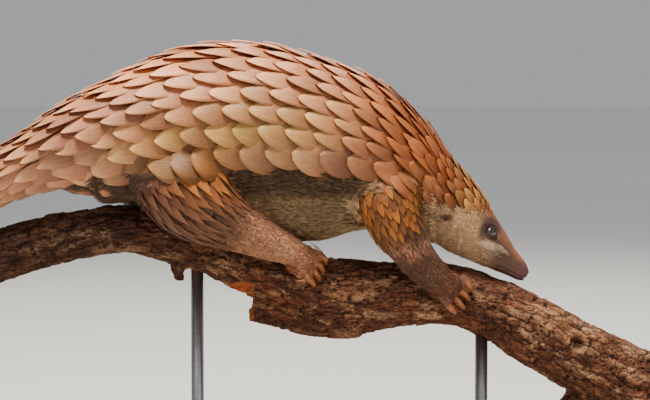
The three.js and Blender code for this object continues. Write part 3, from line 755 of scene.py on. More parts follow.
def plates_from(found, kind, random, direction, span=(0, 1), over=None):
    """A set of scales from lattice places, each varied a little."""
    count = len(found)
    kind = KINDS[kind]
    lift = graded(kind["lift"], *span)

    def stray():
        return 2 * random.random(count) - 1

    pitch = found[:, 2]
    return {
        "tip": found[:, 0] + direction * pitch * 0.06 * stray(),
        "angle": found[:, 1],
        "length": pitch * kind["longer"] * (1 + 0.06 * stray()),
        "half": found[:, 3] * kind["wider"] * (1 + 0.05 * stray()),
        "lift": lift(found[:, 0]) * (1 + 0.22 * stray()),
        "thick": np.full(count, kind["thick"]),
        "roll": 0.05 * stray(),
        "yaw": kind["stray"] * stray(),
        "direction": direction,
        "lean": np.tanh(wrapped(found[:, 1]) / 0.35) if kind["leans"] else np.zeros(count),
        "over": over,
        "form": kind["form"],
    }


def back_rows(rows, scaled, reach):
    """Angles of rows that lie closer over the back, down to its reach, than under the belly."""
    def angle(row, s):
        half = rows / 2
        place = row - rows if row > half else row
        n = abs(place)
        edge = reach(s)
        if n <= scaled:
            size = n * edge / scaled
        else:
            size = edge + (math.pi - edge) * (n - scaled) / (half - scaled)
        return math.copysign(size, place)
    return angle


def rows_out(row, rows):
    """How many rows from the middle of the back a row is."""
    return min(row % rows, rows - row % rows)


def deep_in_leg(s, a):
    """Whether the skin stands too far out here for the trunk's scales to lie over it."""
    here = swelling(np.array([s, s + 8, s - 8]), np.array([a, a, a]))
    return here.max() > MOST_SWELLING


def outside_trunk(tube, s, a):
    """Whether a place on a leg lies clear of the trunk."""
    _, out, _ = trunk.nearest(np.array([tube.point(s, a)]), 4.0)
    return out[0] > 1.04


# The lower border of the scales on the head, in the side view
HEAD_BORDER = [(116, 244), (126, 236), (152, 234), (164, 234), (173, 233), (178, 229), (183, 224),
               (190, 216)]


def above_head_border(point):
    return point[2] > height_on(HEAD_BORDER, point[0])


SHOULDER_EDGE = {"from": 84, "height": 251}


def above_shoulder(point):
    """Whether a tip stays clear of the upper arm, which has small scales of its own."""
    return point[0] < SHOULDER_EDGE["from"] or point[2] > SHOULDER_EDGE["height"]


# Colours of the coat and the skin at a place

TAN = srgb(226, 164, 116)
PINK_TAN = srgb(208, 140, 106)
CREAM = srgb(222, 174, 90)
ORANGE = srgb(206, 122, 26)
WARM = srgb(196, 114, 52)
RUSSET = srgb(158, 82, 36)
DARK_RUSSET = srgb(108, 60, 34)
LEG_BROWN = srgb(124, 78, 48)
LEG_DARK = srgb(92, 54, 32)
ARM_ORANGE = srgb(158, 92, 22)
ARM_DARK = srgb(100, 56, 24)


def blob(points, centre, size):
    """A soft patch in the side view, 1 in its middle."""
    x = (points[:, 0] - centre[0]) / size[0]
    z = (points[:, 2] - centre[1]) / size[1]
    return np.exp(-(x * x + z * z))


def scale_colour(points, random):
    """Each scale's colour: pinkish tan, cream along the flank, orange low down, russet on neck and head."""
    count = len(points)
    x, z = points[:, 0], points[:, 2]
    colour = mix(TAN, PINK_TAN, random.random((count, 1)))
    flank = blob(points, (0, 288), (78, 20)) + 0.9 * blob(points, (-70, 272), (40, 16))
    flank = np.clip(flank, 0, 1)
    colour = blend(colour, CREAM, 0.9 * flank * (0.45 + 0.55 * random.random(count)))
    warm = mix(WARM, RUSSET, random.random((count, 1)))
    colour = blend(colour, warm, 0.9 * smoothstep(36, 118, x))
    # The lowest flank rows are darker russet, partly their own colour and partly painted shade where the
    # flank turns under.
    span = smoothstep(84, 66, x) * smoothstep(-130, -90, x)
    low_flank = smoothstep(274, 252, z) * span
    low = mix(DARK_RUSSET, CREAM, 0.3 * random.random((count, 1)))
    colour = blend(colour, low, 0.85 * low_flank)
    hip = np.clip(blob(points, (-42, 258), (24, 16)), 0, 1)
    colour = blend(colour, ORANGE, 0.95 * hip)
    # Painted shade: the low flank, the hip and the scales lower down on the body are darkened.
    shade = 1 - 0.42 * np.clip(low_flank + hip, 0, 1) - 0.16 * smoothstep(318, 290, z)
    # Painted light: the scales on the top of the back are brightened.
    shade = shade + 0.32 * smoothstep(312, 346, z)
    # Painted shadow: the neck scales beside the cheek are darkened.
    shade = shade * (1 - 0.45 * blob(points, (138, 236), (18, 11)))
    colour = colour * shade[:, None]
    colour = blend(colour, CREAM, 0.6 * (smoothstep(146, 166, x) * random.random(count)))
    worn = smoothstep(0.05, 0.5, noise_at(points, 46.0, 51))
    colour = blend(colour, RUSSET, 0.45 * worn)
    return colour * (0.7 + 0.52 * random.random((count, 1)))


def leg_scale_colour(points, random):
    """Darker, hair-like scales down the legs, orange on the upper arm and the hip."""
    count = len(points)
    colour = mix(LEG_BROWN, LEG_DARK, random.random((count, 1)))
    arm = mix(ARM_ORANGE, ARM_DARK, random.random((count, 1)))
    colour = blend(colour, arm, smoothstep(70, 84, points[:, 0]))
    hip = np.clip(blob(points, (-44, 250), (20, 14)), 0, 1)
    colour = blend(colour, ORANGE, 0.8 * hip)
    return colour * (0.8 + 0.4 * random.random((count, 1)))


def bake_spots(tube_index, s_share, angle):
    """Places on an unwrap of the skin's own shape: the trunk as one strip, each leg as another."""
    if tube_index == 0:
        return np.stack([0.02 + 0.95 * s_share, 0.30 + 0.27 * angle / math.pi], -1)
    column = tube_index - 1
    return np.stack([0.02 + 0.24 * column + 0.2 * s_share, 0.80 + 0.17 * angle / math.pi], -1)


def wrapped(angle):
    """The same angle between minus and plus half a turn."""
    return (angle + math.pi) % (2 * math.pi) - math.pi


BAKE_PATCH = 0.003


def coat_object(name, points, faces, count, tint, along, across, spots):
    """One joined piece of coat, with a colour and a patch for baking for each of its elements."""
    per = points.shape[1]
    flat = points.reshape(-1, 3)
    numbers = (faces[None] + (np.arange(count) * per)[:, None, None]).reshape(-1, faces.shape[1])
    made = mesh_object(name, flat, numbers)
    data = made.data
    colour = np.repeat(np.concatenate([tint, np.ones((count, 1))], 1), per, axis=0)
    data.attributes.new("tint", "FLOAT_COLOR", "POINT").data.foreach_set("color", colour.ravel())
    for label, values in (("along", along), ("across", across)):
        repeated = np.tile(values, count)
        data.attributes.new(label, "FLOAT", "POINT").data.foreach_set("value", repeated)
    uv = np.repeat(spots, per, axis=0)
    uv = uv + BAKE_PATCH * np.stack([np.tile(along, count) - 0.5, np.tile(across, count) * 0.5], -1)
    corners = np.zeros(len(data.loops), int)
    data.loops.foreach_get("vertex_index", corners)
    layer = data.uv_layers.new(name="OFBake")
    layer.data.foreach_set("uv", uv[corners].ravel())
    return made


def scale_piece(name, tube_index, tube, sets, random, colours):
    """One piece from sets of scales on a tube, the trunk being tube 0 and the legs 1 to 4."""
    points, tints, spots = [], [], []
    for rows in sets:
        points.append(scale_plates(tube, rows))
        tints.append(colours(points[-1][:, :len(ALONG) * len(ACROSS)].mean(1), random))
        spots.append(bake_spots(tube_index, rows["tip"] / tube.length, wrapped(rows["angle"])))
    points, tints, spots = (np.concatenate(parts) for parts in (points, tints, spots))
    along = np.tile(np.repeat(ALONG, len(ACROSS)), 2)
    across = np.tile(np.tile(ACROSS, len(ALONG)), 2)
    return coat_object(name, points, SHELL_FACES, len(points), tints, along, across, spots)


def torso_reach(s):
    """The angle from the middle of the back down to which scales cover the trunk."""
    over_back = mix(119, 78, np.clip((s - AT_RUMP) / (AT_SHOULDER - AT_RUMP), 0, 1))
    on_tail = smoothstep(AT_RUMP + 5, AT_TAIL_ROOT, s)
    return math.radians(mix(over_back, 168, on_tail))


def graded(ends, start, span):
    """A value that changes from one of its ends to the other over a span of the trunk."""
    return lambda s: mix(*ends, np.clip((s - start) / span, 0, 1))


def evenly(rows):
    """Angles of rows spread evenly round a tube."""
    return lambda row, s: row * 2 * math.pi / rows


TIPS_BACK = -1
TIPS_DOWN = 1
TAIL_START = trunk.where(-226, 240)
TAIL_ROWS = 14
TAIL_END_BARE = 4
# Rows round the body and the neck, and how many on each side of the middle one have scales
BODY_ROWS, BODY_SCALED = 24, 8
NECK_ROWS, NECK_SCALED = 18, 6
NECK_REACH = math.radians(100)
NECK_CLEAR_FROM = 116
HEAD_ROWS = 26
HEAD_SPAN = 55
LEG_REACH = math.radians(118)
HEAD_SCALES_FROM = trunk.where(192, 183)
LEG_SCALES_FROM = 14
LEG_SCALES = {
    "hindleg": {"rows": 26, "share": 0.58, "top": 244},
    "foreleg": {"rows": 30, "share": 0.5, "top": 247},
}


def tail_scales(random):
    pitch = graded(KINDS["tail"]["pitch"], 0, AT_TAIL_ROOT)
    places = lattice(trunk, TAIL_START + 8, 3, pitch, TAIL_ROWS, evenly(TAIL_ROWS),
                     lambda row, s, a: s > TAIL_END_BARE, TIPS_BACK)
    return plates_from(places, "tail", random, TIPS_BACK, (0, TAIL_START))


def body_scales(random):
    pitch = graded(KINDS["body"]["pitch"], TAIL_START, AT_RUMP - TAIL_START)

    def keep(row, s, a):
        shown = rows_out(row, BODY_ROWS) <= BODY_SCALED and above_shoulder(trunk.point(s, a))
        return shown and not deep_in_leg(s, a)

    places = lattice(trunk, AT_SHOULDER + 4, TAIL_START, pitch, BODY_ROWS,
                     back_rows(BODY_ROWS, BODY_SCALED, torso_reach), keep, TIPS_BACK)
    return plates_from(places, "body", random, TIPS_BACK, over=swelling)


def neck_scales(random):
    pitch = graded(KINDS["neck"]["pitch"], AT_SHOULDER, AT_CROWN - AT_SHOULDER)

    def keep(row, s, a):
        point = trunk.point(s, a)
        clear = above_shoulder(point) and (point[0] < NECK_CLEAR_FROM or above_head_border(point))
        return rows_out(row, NECK_ROWS) <= NECK_SCALED and clear and not deep_in_leg(s, a)

    places = lattice(trunk, AT_CROWN, AT_SHOULDER + 2, pitch, NECK_ROWS,
                     back_rows(NECK_ROWS, NECK_SCALED, lambda s: NECK_REACH), keep, TIPS_BACK)
    return plates_from(places, "neck", random, TIPS_BACK, over=swelling)


def head_scales(random):
    pitch = graded(KINDS["head"]["pitch"], AT_CROWN, HEAD_SPAN)

    def keep(row, s, a):
        return above_head_border(trunk.point(s, a)) and abs(wrapped(a)) < NECK_REACH

    places = lattice(trunk, HEAD_SCALES_FROM, AT_CROWN + 2, pitch, HEAD_ROWS, evenly(HEAD_ROWS),
                     keep, TIPS_BACK)
    return plates_from(places, "head", random, TIPS_BACK, (AT_CROWN, HEAD_SPAN))


def leg_scales(name, random):
    side, tube, kind = LEGS[name][0], legs[name], name.split("_")[0]
    form = LEG_SCALES[kind]

    def keep(row, s, a):
        off = abs(wrapped(a - side * math.pi / 2))
        return off < LEG_REACH and tube.point(s, a)[2] < form["top"] and outside_trunk(tube, s, a)

    pitch = graded(KINDS[kind]["pitch"], 0, 1)
    places = lattice(tube, LEG_SCALES_FROM, form["share"] * tube.length, pitch, form["rows"],
                     evenly(form["rows"]), keep, TIPS_DOWN)
    return plates_from(places, kind, random, TIPS_DOWN)


def make_scales():
    random = np.random.default_rng(11)
    pieces = []
    sets = {"tail": [tail_scales], "body": [body_scales, neck_scales], "head": [head_scales]}
    for name, makers in sets.items():
        plates = [maker(random) for maker in makers]
        pieces.append(scale_piece(f"scales_{name}", 0, trunk, plates, random, scale_colour))
    for index, name in enumerate(legs, start=1):
        plates = [leg_scales(name, random)]
        pieces.append(scale_piece(f"scales_{name}", index, legs[name], plates, random, leg_scale_colour))
    return pieces


scale_pieces = make_scales()


# Materials

class Look:
    """A procedural material on one principled shader."""

    def __init__(self, name, **values):
        self.material = bpy.data.materials.new(name)
        self.material.use_nodes = True
        self.tree = self.material.node_tree
        self.shader = self.tree.nodes["Principled BSDF"]
        self.relief = None
        self.place = self.node("TexCoord").outputs["Object"]
        self.feed(self.shader, **values)

    def feed(self, node, **values):
        """Links sockets to a node's inputs, or sets plain values on them."""
        for label, value in values.items():
            self.connect(node.inputs[label.replace("_", " ")], value)

    def connect(self, entry, value):
        if isinstance(value, bpy.types.NodeSocket):
            self.tree.links.new(value, entry)
        else:
            entry.default_value = value

    def node(self, kind, **values):
        made = self.tree.nodes.new("ShaderNode" + kind)
        self.feed(made, **values)
        return made

    def attribute(self, name, output="Fac"):
        made = self.node("Attribute")
        made.attribute_name = name
        return made.outputs[output]

    def stretched(self, *scale):
        return self.node("Mapping", Vector=self.place, Scale=scale).outputs["Vector"]

    def noise(self, place, scale, detail, roughness=0.6, output="Fac", **more):
        made = self.node("TexNoise", Vector=place, Scale=scale, Detail=detail, Roughness=roughness, **more)
        return made.outputs[output]

    def work(self, kind, operation, *entries, output=0):
        """One step of arithmetic on numbers or vectors."""
        made = self.node(kind)
        made.operation = operation
        for entry, value in zip(made.inputs, entries):
            self.connect(entry, value)
        return made.outputs[output]

    def ramp(self, value, *stops):
        """Colours or greys at places from 0 to 1, read by a value."""
        made = self.node("ValToRGB", Fac=value)
        elements = made.color_ramp.elements
        while len(elements) < len(stops):
            elements.new(0.5)
        for element, (place, colour) in zip(elements, stops):
            element.position = place
            element.color = (*(np.ones(3) * colour).tolist(), 1.0)
        return made.outputs["Color"]

    def product(self, first, *others):
        for other in others:
            made = self.node("Mix")
            made.data_type = "RGBA"
            made.blend_type = "MULTIPLY"
            self.feed(made, Factor=1.0, A=first, B=other)
            first = made.outputs["Result"]
        return first

    def bump(self, height, strength, distance):
        """Relief, laid over any that is there already."""
        made = self.node("Bump", Height=height, Strength=strength, Distance=distance)
        if self.relief:
            self.feed(made, Normal=self.relief)
        self.relief = made.outputs["Normal"]
        self.feed(self.shader, Normal=self.relief)

    def show(self, *colours):
        """Makes the product of some colours the base colour."""
        self.feed(self.shader, Base_Color=self.product(*colours))


def scale_look():
    """Horn: dark at a scale's root, pale at its rim as a painted highlight, with lines along it and small
    spots.
    """
    look = Look("scale_horn", Roughness=0.5, Specular_IOR_Level=0.35)
    along, across = look.attribute("along"), look.attribute("across")
    # Darker and pinker towards the root, partly the horn's own colour and partly painted shade under the
    # scale above; paler at the tip as a painted highlight.
    tone = look.ramp(along, (0.0, (0.36, 0.24, 0.2)), (0.5, (0.7, 0.6, 0.56)), (0.82, 1.0),
                     (1.0, (1.24, 1.28, 1.26)))
    # Painted highlight: paler along the side edges, where they catch the light.
    rim = look.ramp(look.work("Math", "ABSOLUTE", across),
                    (0.0, 0.94), (0.72, 1.0), (1.0, (1.28, 1.3, 1.24)))
    lengthwise = look.node("CombineXYZ", X=across, Y=look.work("Math", "MULTIPLY", along, 0.12))
    grain = look.work("VectorMath", "MULTIPLY_ADD", look.place, (3.0, 3.0, 3.0), lengthwise.outputs[0])
    lines = look.noise(grain, 9.0, 5.0)
    spots = look.noise(look.place, 260.0, 6.0, 0.65)
    look.show(look.attribute("tint", "Color"), look.product(tone, rim),
              look.ramp(spots, (0.3, 0.82), (0.7, 1.1)), look.ramp(lines, (0.3, 0.78), (0.7, 1.12)))
    look.bump(lines, 0.5, 0.0007)
    look.bump(spots, 0.2, 0.0002)
    return look.material


def skin_look():
    """Bare skin: the mesh's own tint, mottled, with a fine bump."""
    look = Look("skin_bare", Roughness=0.62)
    mottle = look.ramp(look.noise(look.place, 180.0, 6.0), (0.3, 0.84), (0.7, 1.16))
    look.show(look.attribute("tint", "Color"), mottle)
    look.bump(look.noise(look.place, 900.0, 8.0, 0.65), 0.5, 0.0005)
    return look.material


def fur_look():
    """Hair darker at its root and paler at its tip."""
    look = Look("fur_hair", Roughness=0.6, Specular_IOR_Level=0.3)
    tone = look.ramp(look.attribute("along"), (0.0, 0.72), (0.5, 1.0), (1.0, 1.3))
    mottle = look.ramp(look.noise(look.place, 240.0, 5.0), (0.3, 0.8), (0.7, 1.15))
    look.show(look.attribute("tint", "Color"), tone, mottle)
    return look.material


WHISKER = srgb(214, 188, 158)
SKIN_PALE = srgb(204, 162, 122)
MUZZLE = srgb(80, 48, 32)
SKIN_DARK = srgb(62, 38, 34)
BELLY = srgb(146, 118, 84)
SHADE_UNDER_SCALES = srgb(70, 46, 30)
RIDGE = srgb(140, 84, 56)
NOSE = srgb(92, 48, 54)
ARM_FUR = srgb(104, 70, 52)
SHIN_FUR = srgb(184, 130, 96)
PALM = srgb(112, 68, 46)
SOLE = srgb(172, 114, 82)
FOREFEET_FROM = 60


def skin_colour(points):
    """The skin's colour at places, painted shade included, also that of the hair that grows from it."""
    count = len(points)
    x, z = points[:, 0], points[:, 2]
    colour = np.repeat(BELLY[None], count, axis=0)
    # Painted shade: the skin just under the lowest scales of the flank is darkened.
    strip = smoothstep(232, 241, z) * smoothstep(-50, -30, x) * smoothstep(92, 76, x)
    colour = blend(colour, SHADE_UNDER_SCALES, 0.8 * strip)
    on_foot = np.zeros(count)
    for name, tube in legs.items():
        s, out, _ = tube.nearest(points, 4.0)
        share = s / tube.length
        hair = ARM_FUR
        if name.startswith("hind"):
            hair = blend(ARM_FUR, SHIN_FUR, smoothstep(0.42, 0.7, share))
        colour = blend(colour, hair, smoothstep(1.5, 1.15, out) * smoothstep(0.12, 0.34, share))
        foot = np.linalg.norm(points - tube.line[-1], axis=1)
        on_foot = np.maximum(on_foot, smoothstep(24, 14, foot))
    colour = blend(colour, np.where(points[:, :1] > FOREFEET_FROM, PALM, SOLE), on_foot)
    # Painted shade under the rump and the tail root, which the hair growing there takes too.
    colour = blend(colour, SKIN_DARK, 0.8 * (smoothstep(-34, -66, x) * (1 - on_foot)))
    return face_colour(points, colour) * (1 + skin_mottle(points))[:, None]


def face_colour(points, colour):
    """Lays the face's colours over those of the skin: the muzzle, its ridge, the nose and lids, with painted
    shade in the ears.
    """
    x, z = points[:, 0], points[:, 2]
    high = z > height_on(HEAD_FLOOR, x)
    s, _, angle = trunk.nearest(points, 2.0)
    colour = blend(colour, SKIN_PALE, smoothstep(118, 150, x) * high)
    colour = blend(colour, MUZZLE, smoothstep(167, 188, x) * high)
    ridge = smoothstep(1.15, 0.45, np.abs(angle)) * smoothstep(160, 176, x) * high
    colour = blend(colour, RIDGE, 0.85 * ridge)
    colour = blend(colour, NOSE, smoothstep(trunk.length - 13, trunk.length - 5, s) * high)
    # Painted shade in the ear opening.
    ear = np.hypot((x - EAR_PLACE[0]) / 6.5, (z - EAR_PLACE[1]) / 3.4)
    colour = blend(colour, SKIN_DARK, 0.65 * high * smoothstep(1.3, 0.6, ear))
    for side in (RIGHT, LEFT):
        centre, ahead, up, _ = eye_spot(side)
        offset = points - centre + ahead * 2.6 - up * 1.5
        ring = np.hypot(offset @ ahead / 10.0, offset @ up / 13.0)
        ring = np.where(points[:, 1] * side > 0, ring, 9)
        colour = blend(colour, SKIN_DARK, 0.92 * high * smoothstep(1.15, 0.6, ring))
    return colour


def skin_mottle(points):
    """Lighter and darker patches of two sizes."""
    return noise_at(points, 14.0, 2) * 0.12 + noise_at(points, 4.0, 3) * 0.08


def paint(piece, colour):
    values = np.concatenate([colour, np.ones((len(colour), 1))], 1)
    piece.data.attributes.new("tint", "FLOAT_COLOR", "POINT").data.foreach_set("color", values.ravel())


paint(skin, skin_colour(skin_points))
skin.data.materials.append(skin_look())
horn = scale_look()
for piece in scale_pieces:
    piece.data.materials.append(horn)

FLESH_NODES = ["head", "neck", "torso", "tail_root", "tail_middle", "tail_end", "tail_tip", *LEGS,
               "ear_right", "ear_left"]
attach(skin, "root")
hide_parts(*FLESH_NODES)
for piece in scale_pieces:
    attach(piece, "root")


# The fur: tufts of thin tapered blades whose tips draw together

BLADES = 4
# A blade has three corners at its foot, three halfway and one at its tip
BLADE_FACES = np.array([
    (0, 1, 4), (0, 4, 3), (1, 2, 5), (1, 5, 4), (2, 0, 3), (2, 3, 5),
    (3, 4, 6), (4, 5, 6), (5, 3, 6), (2, 1, 0)])
BLADE_ALONG = np.array([0, 0, 0, 0.5, 0.5, 0.5, 1.0])
BLADE_ACROSS = np.array([-1, 1, 0, -1, 1, 0, 0])
CORNERS = np.array([(-1.0, 0.0), (1.0, 0.0), (0.0, 0.7)])
FOOT_UNDER_SKIN = 0.8


def skin_faces():
    """Corners, areas and normals of the skin's triangles."""
    skin.data.calc_loop_triangles()
    corners = np.zeros(3 * len(skin.data.loop_triangles), int)
    skin.data.loop_triangles.foreach_get("vertices", corners)
    corners = corners.reshape(-1, 3)
    a, b, c = (skin_points[corners[:, k]] for k in range(3))
    across = np.cross(b - a, c - a)
    area = np.linalg.norm(across, axis=1)
    return corners, area / 2, across / np.maximum(area, 1e-9)[:, None]


def tuft_blades(roots, ups, lies, length, width, rise, spread, random):
    """Points of tufts: each blade leaves the skin near its tuft's root and leans along the coat."""
    sides = np.cross(ups, lies)
    blades = []
    for _ in range(BLADES):
        a, b, sway, reach, stand = (random.random((5, len(roots), 1)) * 2 - 1)
        foot = roots + (sides * a + lies * b) * spread
        run = length * (1 + 0.18 * reach)
        drift = sides * (0.3 * a * spread + 0.14 * sway * length)
        tip = roots + lies * run + drift + ups * rise * (1 + 0.4 * stand)
        middle = foot + (tip - foot) * 0.5 + ups * (0.3 + 0.3 * rise)
        for centre, share in ((foot - ups * FOOT_UNDER_SKIN, 1.0), (middle, 0.8)):
            for x, y in CORNERS:
                blades.append(centre + (sides * x + ups * y) * width * share)
        blades.append(tip)
    return np.stack(blades, 1)


def fur_piece(name, weights, form, random):
    """A piece of fur: tufts at random places on the skin, as thick as the weights say.

    form gives functions of the roots for length, lie and tone, and numbers for the rest.
    """
    corners, area, ups = SKIN_FACES
    count = form["tufts"]
    odds = area * weights[corners].mean(1)
    chosen = random.choice(len(area), count, p=odds / odds.sum())
    u, v = random.random((2, count))
    over = u + v > 1
    u, v = np.where(over, 1 - u, u), np.where(over, 1 - v, v)
    a, b, c = (skin_points[corners[chosen, k]] for k in range(3))
    roots = a + (b - a) * u[:, None] + (c - a) * v[:, None]
    up = ups[chosen]
    lie = form["lie"](roots)
    lie = unit(lie - up * np.sum(lie * up, 1)[:, None])
    length = form["length"](roots)[:, None] * (0.75 + 0.5 * random.random((count, 1)))
    points = tuft_blades(roots, up, lie, length, form["width"], form["rise"], form["spread"], random)
    root_colour = form["colour"] if "colour" in form else skin_colour(roots)
    tint = np.clip(root_colour * form["tone"](roots, random), 0, MOST_TINT)
    tube_index, tube = form["strip"]
    s, _, angle = tube.nearest(roots, 4.0)
    spots = bake_spots(tube_index, s / tube.length, wrapped(angle))
    faces = np.concatenate([BLADE_FACES + len(BLADE_ALONG) * k for k in range(BLADES)])
    along, across = np.tile(BLADE_ALONG, BLADES), np.tile(BLADE_ACROSS, BLADES)
    made = coat_object(name, points, faces, count, tint, along, across, spots)
    made.data.materials.append(hair)
    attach(made, "root")


def along_tube(tube, direction, droop):
    """A lie of hair along a tube, drawn down a little by its weight."""
    def lie(roots):
        s, _, _ = tube.nearest(roots, 2.0)
        way = tube.frame(np.clip(s, 1, tube.length - 1))[1] * direction
        return way + np.array([0, 0, -droop])
    return lie


def plain_tone(low, high, pale_share, pale):
    """Tufts from dark to light, some of them pale."""
    def tone(roots, random):
        draw = mix(low, high, random.random((len(roots), 1)))
        return np.where(random.random((len(roots), 1)) < pale_share, draw * pale, draw)
    return tone


def leg_regions():
    """How thickly fur grows on the legs at each point of the skin, by piece, and where the legs are."""
    height = skin_points[:, 2]
    on_limb = np.zeros(len(skin_points))
    regions = {}
    for name, tube in legs.items():
        place, out, _ = tube.nearest(skin_points, 3.0)
        share = place / tube.length
        on = smoothstep(1.45, 1.2, out) * smoothstep(0.1, 0.2, share)
        shown = height < LEG_FUR_TOP[name.split("_")[0]]
        from_toes = np.linalg.norm(skin_points - tube.line[-1], axis=1)
        before_toes = (share < 0.995) | (from_toes < HAND_REACH)
        regions[f"fur_{name}"] = on * shown * mix(0.6, 1.0, smoothstep(0.4, 0.6, share)) * before_toes
        on_limb = np.maximum(on_limb, on)
    return regions, on_limb


def trunk_regions(on_limb):
    """How thickly fur grows on the trunk and the face at each point of the skin, by piece."""
    x, y, z = skin_points.T
    s, _, angle = trunk.nearest(skin_points, 3.0)
    places = np.linspace(0, trunk.length, 60)
    reach = np.interp(s, places, [torso_reach(place) for place in places])
    under = smoothstep(reach - 0.16, reach, np.abs(wrapped(angle)))
    border = height_on(HEAD_BORDER, x) - 4
    face = smoothstep(FACE_FUR_FROM, FACE_FUR_FROM + 8, x) * smoothstep(182, 172, x)
    face = face * head_from(FACE_FUR_FROM, skin_points) * (z < border)
    from_eyes = [np.linalg.norm(skin_points - eye_spot(side)[0], axis=1) for side in (RIGHT, LEFT)]
    body = (1 - on_limb) * (x < 140) * (x > -215) * (z < height_on(BODY_FUR_TOP, x))
    below = np.maximum(under, smoothstep(104, 112, x) * (z < border))
    across, down = x - WHISKER_PLACE[0], z - WHISKER_PLACE[1]
    streak = ((0.93 * across - 0.36 * down) / 6.5) ** 2 + ((0.36 * across + 0.93 * down) / 1.9) ** 2
    return {
        "fur_belly": body * below * smoothstep(-72, -60, x) * smoothstep(92, 80, x),
        "fur_rump": body * under * smoothstep(-60, -72, x),
        "fur_throat": body * below * smoothstep(80, 92, x),
        "fur_face": face * smoothstep(6.5, 8.5, np.min(from_eyes, axis=0)),
        "fur_whiskers": np.exp(-streak) * smoothstep(2.0, 6.0, np.abs(y)),
    }


LEG_FUR_TOP = {"hindleg": 240, "foreleg": 244}
BODY_FUR_TOP = [(-90, 258), (-50, 252), (-20, 256), (78, 256), (88, 246)]
FACE_FUR_FROM = 132
HAND_REACH = 12.5
WHISKER_PLACE = (187, 192.5)
MOST_TINT = 0.9
# Length goes from one value to another between two places along X. Tone is the darkest and the lightest
# shade, the share of pale tufts, and how much paler these are.
FUR = {
    "fur_belly": {"tufts": 4200, "rise": 1.6, "width": 0.3, "droop": 0.25,
                  "length": (9.0, 9.0, 0, 1), "tone": (0.85, 1.2, 0.2, 1.35)},
    "fur_rump": {"tufts": 2400, "rise": 2.6, "width": 0.38, "droop": 0.55,
                 "length": (9.0, 15.0, -110, -150), "tone": (0.6, 1.3, 0.12, 1.8)},
    "fur_throat": {"tufts": 3200, "rise": 2.4, "width": 0.3, "droop": 0.35,
                   "length": (9.0, 9.0, 0, 1), "tone": (0.75, 1.4, 0.3, 1.5)},
    "fur_face": {"tufts": 4000, "rise": 0.5, "width": 0.2, "droop": 0.1,
                 "length": (4.2, 2.0, 140, 176), "tone": (0.85, 1.2, 0.1, 1.25)},
}
# The pale streak of hair under each eye
WHISKERS = {"tufts": 95, "rise": 1.6, "width": 0.14, "droop": 0.15,
            "length": (9.5, 9.5, 0, 1), "tone": (0.45, 1.0, 0, 1), "colour": WHISKER}
LEG_FUR = {"tufts": 3000, "rise": 0.9, "width": 0.26, "spread": 1.1, "droop": 0.1, "lengths": (7.5, 2.4)}
SKIN_FACES = skin_faces()
hair = fur_look()


def trunk_form(form):
    first, last, start, end = form["length"]
    return {**form, "spread": 1.0, "strip": (0, trunk), "lie": along_tube(trunk, -1, form["droop"]),
            "length": lambda roots: mix(first, last, smoothstep(start, end, roots[:, 0])),
            "tone": plain_tone(*form["tone"])}


def leg_form(name, index, tube):
    fringed = 0 if name.startswith("hind") else 1

    def length(roots):
        place, _, _ = tube.nearest(roots, 3.0)
        return mix(*LEG_FUR["lengths"], smoothstep(0.45, 0.9, place / tube.length))

    def tone(roots, random):
        draw = 0.7 + 0.75 * random.random((len(roots), 1))
        fringe = blob(roots, (78, 238), (9, 26)) + blob(roots, (112, 199), (16, 7))
        pale = np.where(random.random(len(roots)) < 0.75, fringe, 0) * fringed
        return draw * (1 + 2.6 * np.clip(pale, 0, 1))[:, None]

    lie = along_tube(tube, 1, LEG_FUR["droop"])
    return {**LEG_FUR, "strip": (index, tube), "lie": lie, "length": length, "tone": tone}


def make_fur():
    random = np.random.default_rng(23)
    on_legs, on_limb = leg_regions()
    on_trunk = trunk_regions(on_limb)
    for name, form in FUR.items():
        fur_piece(name, on_trunk[name], trunk_form(form), random)
    for index, (name, tube) in enumerate(legs.items(), start=1):
        fur_piece(f"fur_{name}", on_legs[f"fur_{name}"], leg_form(name, index, tube), random)
    fur_piece("fur_whiskers", on_trunk["fur_whiskers"], trunk_form(WHISKERS), random)


make_fur()


# Eyes and claws

def ball_piece(name, centre, out, radius, rings=48, sides=64):
    """An eyeball with a clear dome over its iris."""
    axis = unit(out)
    other = unit(np.cross(axis, [0.0, 0.0, 1.0]))
    third = np.cross(axis, other)
    turn = np.linspace(0, 2 * math.pi, sides, endpoint=False)
    polar = np.linspace(0.02, math.pi - 0.02, rings)
    dome = 1 + 0.05 * smoothstep(0.62, 0.1, polar)
    shape = [axis * math.cos(p) * d * radius
             + (other * np.cos(turn)[:, None] + third * np.sin(turn)[:, None]) * math.sin(p) * radius * d
             for p, d in zip(polar, dome)]
    return mesh_object(name, *loft(centre + np.array(shape)))


def eye_look():
    look = Look("eye_dark", Roughness=0.06, Coat_Weight=1.0, Coat_Roughness=0.03)
    fibres = look.noise(look.place, 900.0, 4.0)
    look.show(look.ramp(fibres, (0.35, srgb(18, 11, 9)), (0.75, srgb(44, 26, 18))))
    return look.material


eye_dark = eye_look()
for side, label in ((RIGHT, "right"), (LEFT, "left")):
    centre, _, _, out = eye_spot(side)
    eye = ball_piece(f"eyeball_{label}", centre, out, EYE_RADIUS)
    eye.data.materials.append(eye_dark)
    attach(eye, "root")
    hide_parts(f"eye_{label}")


